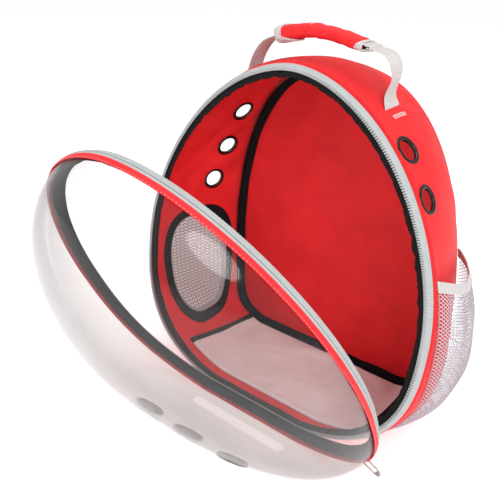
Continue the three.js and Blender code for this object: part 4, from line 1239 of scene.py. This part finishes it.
def makeWrap(width, thickness):
    # a pale web sewn round the grip's left end, with a tongue that runs on below it
    a = np.linspace(0, fullTurn, 60, endpoint=False)[:, None]
    below = np.clip(-np.sin(a), 0, 1)
    reach = 0.006 + 0.017 * below ** 1.5
    run = np.linspace(0, 1, 16)[None]
    distance = gripSize["start"] - 0.0035 + (reach + 0.0035) * run
    grown = 0.0011 * np.sqrt(np.clip(1 - (2 * run - 1) ** 8, 0, 1)) + 0.0006
    swell = 0.93 + 0.07 * np.clip(run * 3, 0, 1)
    soft = rounded(0.72)
    faces = []
    for extra in (0.0, 0.0013):
        spot, outward = alongArch(distance.ravel())
        spot, outward = spot.reshape(60, 16, 3), outward.reshape(60, 16, 3)
        across = np.array([0.0, 1.0, 0.0])
        high = soft(np.sin(a)) * (thickness * swell / 2 + grown * 0.6 + extra)
        side = soft(np.cos(a)) * (width * swell / 2 + grown * 0.6 + extra)
        faces.append(spot + outward * high[..., None] + across * side[..., None])
    points = np.concatenate([faces[1], faces[0][:, ::-1]], 1)
    mesh = gridMesh("handleWrap", points, closeRows=True, closeColumns=True)
    addPiece(mesh, "bag", finishes["web"])


def makeKeeper(start, width):
    # a pale loop round the grip's end, and the web folded back on itself beside it
    distance = np.linspace(start - 0.009, start + 0.003, 26)
    points = ribbonPoints(distance, width + 0.0028, gripSize["thickness"] * 0.80, 40, 0.6)
    inner = ribbonPoints(distance, width + 0.0004, gripSize["thickness"] * 0.62, 40, 0.6)
    loops = np.concatenate([points, inner[::-1]]).swapaxes(0, 1)
    mesh = gridMesh("handleKeeper", loops, closeRows=True, closeColumns=True)
    addPiece(mesh, "bag", finishes["web"], ["handle_keeper"])

    bend = np.linspace(-1, 1, 60)
    fold = start + 0.012 - 0.011 * bend ** 2  # out to the bend and back
    lift = 0.0030 * np.tanh(bend * 2.2) + 0.0006 * np.sin(bend * 7)
    spot, outward = alongArch(fold)
    centre = spot + outward * lift[:, None]
    tangent = unit(np.gradient(centre, axis=0))
    across = np.array([0.0, 1.0, 0.0])
    facing = np.cross(tangent, across)
    a = np.linspace(0, fullTurn, 14, endpoint=False)[:, None]
    soft = rounded(0.5)
    skew = 0.0016 * bend
    points = (centre[:, None] + skew[:, None, None] * across
              + soft(np.cos(a)) * across * 0.0128 + soft(np.sin(a)) * facing[:, None] * 0.00085)
    addBar("handleFold", points, finishes["web"])


def makeGripSeam(middle, width, thickness):
    # a pale seam mark across the grip's top, at its half way stretch
    at = np.array([gripSize["start"] + 0.040, gripSize["start"] + 0.0415])
    spot, outward = alongArch(at[:1])
    size = np.interp(at[0], middle, thickness) / 2 + 0.0009
    half = np.interp(at[0], middle, width) / 2 + 0.0006
    a = np.linspace(0.5, 2.2, 30)
    soft = rounded(0.72)
    across = np.array([0.0, 1.0, 0.0])
    line = spot + soft(np.sin(a))[:, None] * outward * size + soft(np.cos(a))[:, None] * half * across
    row = stitchPlaces(line, unit(line - spot), 0.0022, 0.0019, 0.0009)
    addStitches("gripSeam", [row], "bag", finishes["whiteThread"])


def makeTacks():
    # close rows of thread where each web goes into the cloth, and a seam from the right one to the rear
    rows = []
    for side in (1, -1):
        x = handleSize["offset"] + side * (handleSize["halfSpan"] + 0.0075)
        for shift in (0.0, 0.0012, 0.0024):
            y = np.linspace(handleY - 0.012, handleY + 0.013, 24)
            spot, normal = topSpot(np.full_like(y, x + side * shift), y)
            rows.append(stitchPlaces(spot + normal * 0.0002, normal, 0.0025, 0.0025, 0.0009))
    addStitches("handleTacks", rows, "bag", finishes["whiteThread"])
    rows = []
    for side in (1, -1):
        x = side * 0.1085
        y = np.linspace(handleY + 0.017, 0.066, 40)
        spot, normal = topSpot(np.full_like(y, x), y)
        rows.append(stitchPlaces(spot + normal * 0.00015, normal, 0.0034, 0.0024, 0.00055))
    addStitches("topSeam", rows, "bag", finishes["redThread"])


makeHandle()
makeTacks()
print("handle made")

# Shoulder straps, adjusters and webs on the rear panel.
strapSize = {
    "width": 0.058, "thickness": 0.009, "topMargin": 0.038, "foot": 0.160, "topX": 0.042, "footX": 0.092,
    "bow": 0.014, "gap": 0.00035,
}
webSize = {"width": 0.025, "thickness": 0.0018, "foot": 0.034, "footX": 0.112}
clipSize = {"width": 0.036, "height": 0.022, "thickness": 0.004}


def bowLine(share, start, end, bow):
    # a curve between two places on the rear plane, bowed sideways half way
    middle = (start[0] + end[0]) / 2 + bow
    x = (1 - share) ** 2 * start[0] + 2 * share * (1 - share) * middle + share ** 2 * end[0]
    up = start[1] + (end[1] - start[1]) * share
    return x, up


def barPoints(share, line, width, thickness, power, section, lift=0.0, bulge=None):
    # a flat rounded section carried down the rear plane
    a = np.linspace(0, fullTurn, section, endpoint=False)[None]
    soft = rounded(power)
    x, up = (value[:, None] for value in line)
    high = thickness / 2 * (1 + soft(np.sin(a))) * (1 if bulge is None else bulge[:, None])
    return planePoint(rearShape, x + soft(np.cos(a)) * np.broadcast_to(width, share.shape)[:, None] / 2, up,
                      -(strapSize["gap"] + lift + high))


def makeStraps():
    top = rearShape["height"] - strapSize["topMargin"]
    clipFoot = strapSize["foot"] - strapSize["gap"] - clipSize["height"]
    for side, name in ((1, "left"), (-1, "right")):
        start, end = (side * strapSize["topX"], top), (side * strapSize["footX"], strapSize["foot"])
        share = np.linspace(0, 1, 90)
        ends = np.clip(np.minimum(share, 1 - share) / 0.04, 0, 1)
        fill = 0.45 + 0.55 * np.sqrt(1 - (1 - ends) ** 2)
        width = strapSize["width"] * (0.90 + 0.10 * np.sqrt(1 - (1 - ends) ** 2))
        points = barPoints(share, bowLine(share, start, end, side * strapSize["bow"]), width,
                           strapSize["thickness"], 0.62, 44, 0.0, fill)
        soften = 0.0005 * ripple(points, 0.03, 91 + side) * ends[:, None]
        points = points + soften[..., None] * np.array([0, 1.0, 0])
        pad = addBar(f"shoulderPad_{name}", points, finishes["red"], [f"shoulder_strap_{name}"])
        rows = []
        for edge in (-1, 1):
            x, up = bowLine(share[3:-3], start, end, side * strapSize["bow"])
            line = planePoint(rearShape, x + edge * (strapSize["width"] / 2 - 0.006), up,
                              -(strapSize["gap"] + strapSize["thickness"] * 0.985))
            outward = np.broadcast_to([0.0, 1.0, 0.0], line.shape)
            rows.append(stitchPlaces(line, outward, 0.0038, 0.0027, 0.0007))
        addStitches(f"padStitches_{name}", rows, "bag", finishes["redThread"])

        share = np.linspace(0, 1, 80)
        webStart = (side * strapSize["footX"], clipFoot - strapSize["gap"])
        webEnd = (side * webSize["footX"], webSize["foot"])
        line = bowLine(share, webStart, webEnd, 0.0)
        points = barPoints(share, line, webSize["width"], webSize["thickness"], 0.45, 16)
        addBar(f"strapWeb_{name}", points, finishes["strapWeb"], [f"strap_web_{name}"])
        makeClip(name, side * strapSize["footX"], strapSize["foot"] - strapSize["gap"], clipFoot)


def makeClip(name, x, top, foot):
    # a ladder buckle: three bars across and two sides, each a rounded bar
    middle, half = (top + foot) / 2, clipSize["height"] / 2
    side, thick = clipSize["width"] / 2, clipSize["thickness"] / 2
    bars = [(x, middle + up * (half - 0.0022), side, 0.0022, thick) for up in (-1, 0, 1)]
    bars += [(x + way * (side - 0.0021), middle, 0.0021, half, thick) for way in (-1, 1)]
    origin = planePoint(rearShape, np.array([b[0] for b in bars]), np.array([b[1] for b in bars]),
                        -(strapSize["gap"] + thick))
    c, s = math.cos(math.radians(rearShape["lean"])), math.sin(math.radians(rearShape["lean"]))
    axes = np.array([[[b[2], 0, 0], [0, b[3] * s, b[3] * c], [0, b[4] * c, -b[4] * s]] for b in bars])
    mesh = scatterMesh(f"strapClip_{name}", bead(20, 12, 0.35), (origin, axes))
    addPiece(mesh, "bag", finishes["plastic"], [f"strap_adjuster_{name}"])


makeStraps()
print("straps made")

# The zip's slider and its slotted pull.
sliderSize = {
    "turn": 18 / 48, "length": 0.012, "width": 0.007, "thickness": 0.0036, "proud": 0.0032, "clear": 0.00055,
}
pullSize = {
    "length": 0.030, "width": 0.007, "thickness": 0.0016, "drop": 12, "turn": 38,
    "faces": (0.572, -0.697, 0.433),  # the direction that its slotted side looks in
}


def makeSlider():
    here = np.array(egg(openingShape, sliderSize["turn"]))
    ahead = np.array(egg(openingShape, sliderSize["turn"] + 1 / 48))
    along = (ahead - here) / np.linalg.norm(ahead - here)
    outward = np.array([-along[1], along[0]])
    zero = coverPlace(0, 0, 0)
    lay = lambda flat, out: coverPlace(*flat, out) - zero
    alongAxis, outAxis, upAxis = lay(along, 0), lay(outward, 0), coverPlace(0, 0, 1.0) - zero
    inner = -tapeEnd[0] - sliderSize["proud"]
    spot = here + outward * (inner + sliderSize["width"] / 2)
    seat = coverPlace(*spot, sliderSize["clear"] + sliderSize["thickness"] / 2)

    share = np.linspace(-1, 1, 40)[:, None]
    a = np.linspace(0, fullTurn, 32, endpoint=False)[None]
    soft = rounded(0.5)
    ends = np.sqrt(np.clip(1 - share ** 10, 0.02, 1))
    shape = 0.80 + 0.20 * share - 0.14 * np.cos(fullTurn * share / 2)
    wide = sliderSize["width"] / 2 * shape * ends + 0.0006
    groove = 0.00045 * np.exp(-(np.sin(a) / 0.25) ** 2)
    points = (seat + (share * sliderSize["length"] / 2)[..., None] * alongAxis
              + (soft(np.cos(a)) * (wide - groove))[..., None] * outAxis
              + (soft(np.sin(a)) * sliderSize["thickness"] / 2 * (0.7 + 0.3 * ends))[..., None] * upAxis)
    mesh = gridMesh("zipSlider", points, closeColumns=True, caps=True)
    addPiece(mesh, "cover", finishes["zip"], ["zip_slider"])

    turn = math.radians(pullSize["turn"])
    c, s = math.cos(turn), math.sin(turn)
    pullOut = outward * c + np.array([-outward[1], outward[0]]) * s
    fall = math.radians(pullSize["drop"])
    axisLong = lay(pullOut, 0) * math.cos(fall) + upAxis * math.sin(fall)
    axisWide = unit(np.cross(axisLong, pullSize["faces"]))
    axisThick = np.cross(axisLong, axisWide)
    base = coverPlace(*(here + outward * (inner + sliderSize["width"] + 0.0006)),
                      sliderSize["clear"] + sliderSize["thickness"] / 2)
    middle = base + axisLong * (pullSize["length"] / 2 + 0.0012)
    mesh = pullMesh(middle, axisLong, axisWide, axisThick)
    addPiece(mesh, "cover", finishes["zip"], ["zip_pull"])


def pullMesh(middle, axisLong, axisWide, axisThick):
    # a flat bar with a long slot: the section goes from the outer edge to the slot's edge and back
    turn = np.linspace(0, fullTurn, 96, endpoint=False)[:, None]
    def loop(halfLong, halfWide, power, shift):
        soft = rounded(power)
        return shift + halfLong * soft(np.cos(turn)), halfWide * soft(np.sin(turn))
    half, side, thick = pullSize["length"] / 2, pullSize["width"] / 2, pullSize["thickness"] / 2
    outer, slot = loop(half, side, 0.42, 0.0), loop(half * 0.52, side * 0.46, 0.4, 0.0015)
    mix = np.array([0.0, 0.03, 0.12, 0.5, 0.86, 0.97, 1.0, 1.0, 0.97, 0.86, 0.5, 0.12, 0.03, 0.0])[None]
    high = np.array([0.55, 0.85, 1.0, 1.0, 1.0, 0.85, 0.5, -0.5, -0.85, -1.0, -1.0, -1.0, -0.85, -0.55])[None]
    long = outer[0] + (slot[0] - outer[0]) * mix
    wide = outer[1] + (slot[1] - outer[1]) * mix
    points = (middle + long[..., None] * axisLong + wide[..., None] * axisWide
              + (high * thick)[..., None] * axisThick)
    return gridMesh("zipPull", points, closeRows=True, closeColumns=True)


makeSlider()
print("slider made")

# The photograph's camera, a pale floor and soft light.
cameraSize = {
    "azimuth": 39.38, "elevation": 25.66, "roll": 1.15, "distance": 0.7363, "lens": 45.277,
    "target": (-0.0292, -0.0607, 0.2050),
}


def makeCamera():
    azimuth, elevation, roll = (math.radians(cameraSize[key]) for key in ("azimuth", "elevation", "roll"))
    back = Vector((math.sin(azimuth) * math.cos(elevation), -math.cos(azimuth) * math.cos(elevation),
                   math.sin(elevation)))
    right = Vector((math.cos(azimuth), math.sin(azimuth), 0))
    up = back.cross(right)
    turnedRight = right * math.cos(roll) + up * math.sin(roll)
    turnedUp = up * math.cos(roll) - right * math.sin(roll)
    data = bpy.data.cameras.new("camera")
    data.lens, data.sensor_width = cameraSize["lens"], 36
    camera = bpy.data.objects.new("camera", data)
    bpy.context.scene.collection.objects.link(camera)
    place = Matrix((turnedRight, turnedUp, back)).transposed().to_4x4()
    place.translation = Vector(cameraSize["target"]) + back * cameraSize["distance"]
    camera.matrix_world = place
    bpy.context.scene.camera = camera


lampTable = [  # place, what it points at, size and power
    {"name": "key", "place": (1.6, -1.3, 1.7), "aim": (0, 0, 0.2), "size": 1.3, "power": 36},
    {"name": "fill", "place": (-1.5, -1.7, 1.2), "aim": (0, -0.1, 0.2), "size": 1.4, "power": 9},
    {"name": "above", "place": (0.1, 0.4, 2.2), "aim": (0, 0, 0.2), "size": 1.8, "power": 20},
]


def makeStudio():
    mesh = bpy.data.meshes.new("floor")
    mesh.from_pydata([(-6, -6, 0), (6, -6, 0), (6, 6, 0), (-6, 6, 0)], [], [(0, 1, 2, 3)])
    floor = bpy.data.objects.new("floor", mesh)
    bpy.context.scene.collection.objects.link(floor)
    f = Finish("paleFloor", Roughness=0.8, Emission_Color=(1, 1, 1), Emission_Strength=0.40)
    f.colour(f.mix(f.noise(3.0), (0.93, 0.93, 0.93), (0.96, 0.96, 0.96)))
    floor.data.materials.append(f.material)
    for lamp in lampTable:
        data = bpy.data.lights.new(lamp["name"], "AREA")
        data.shape, data.size, data.energy = "DISK", lamp["size"], lamp["power"]
        light = bpy.data.objects.new(lamp["name"], data)
        bpy.context.scene.collection.objects.link(light)
        light.location = lamp["place"]
        aim = Vector(lamp["aim"]) - Vector(lamp["place"])
        light.rotation_euler = aim.to_track_quat("-Z", "Y").to_euler()
    makeWorld()
    bpy.context.scene.view_settings.view_transform = "Standard"


def makeWorld():
    # white behind the object, a softer grey room for its light and reflections
    world = bpy.data.worlds.new("studio")
    world.use_nodes = True
    bpy.context.scene.world = world
    tree = world.node_tree
    tree.nodes.clear()
    seen, room = tree.nodes.new("ShaderNodeBackground"), tree.nodes.new("ShaderNodeBackground")
    seen.inputs["Color"].default_value = (1, 1, 1, 1)
    room.inputs["Color"].default_value = (0.97, 0.98, 1.0, 1)
    room.inputs["Strength"].default_value = 0.62
    path, mix = tree.nodes.new("ShaderNodeLightPath"), tree.nodes.new("ShaderNodeMixShader")
    end = tree.nodes.new("ShaderNodeOutputWorld")
    tree.links.new(path.outputs["Is Camera Ray"], mix.inputs[0])
    tree.links.new(room.outputs[0], mix.inputs[1])
    tree.links.new(seen.outputs[0], mix.inputs[2])
    tree.links.new(mix.outputs[0], end.inputs["Surface"])


makeCamera()
makeStudio()
print("studio made")
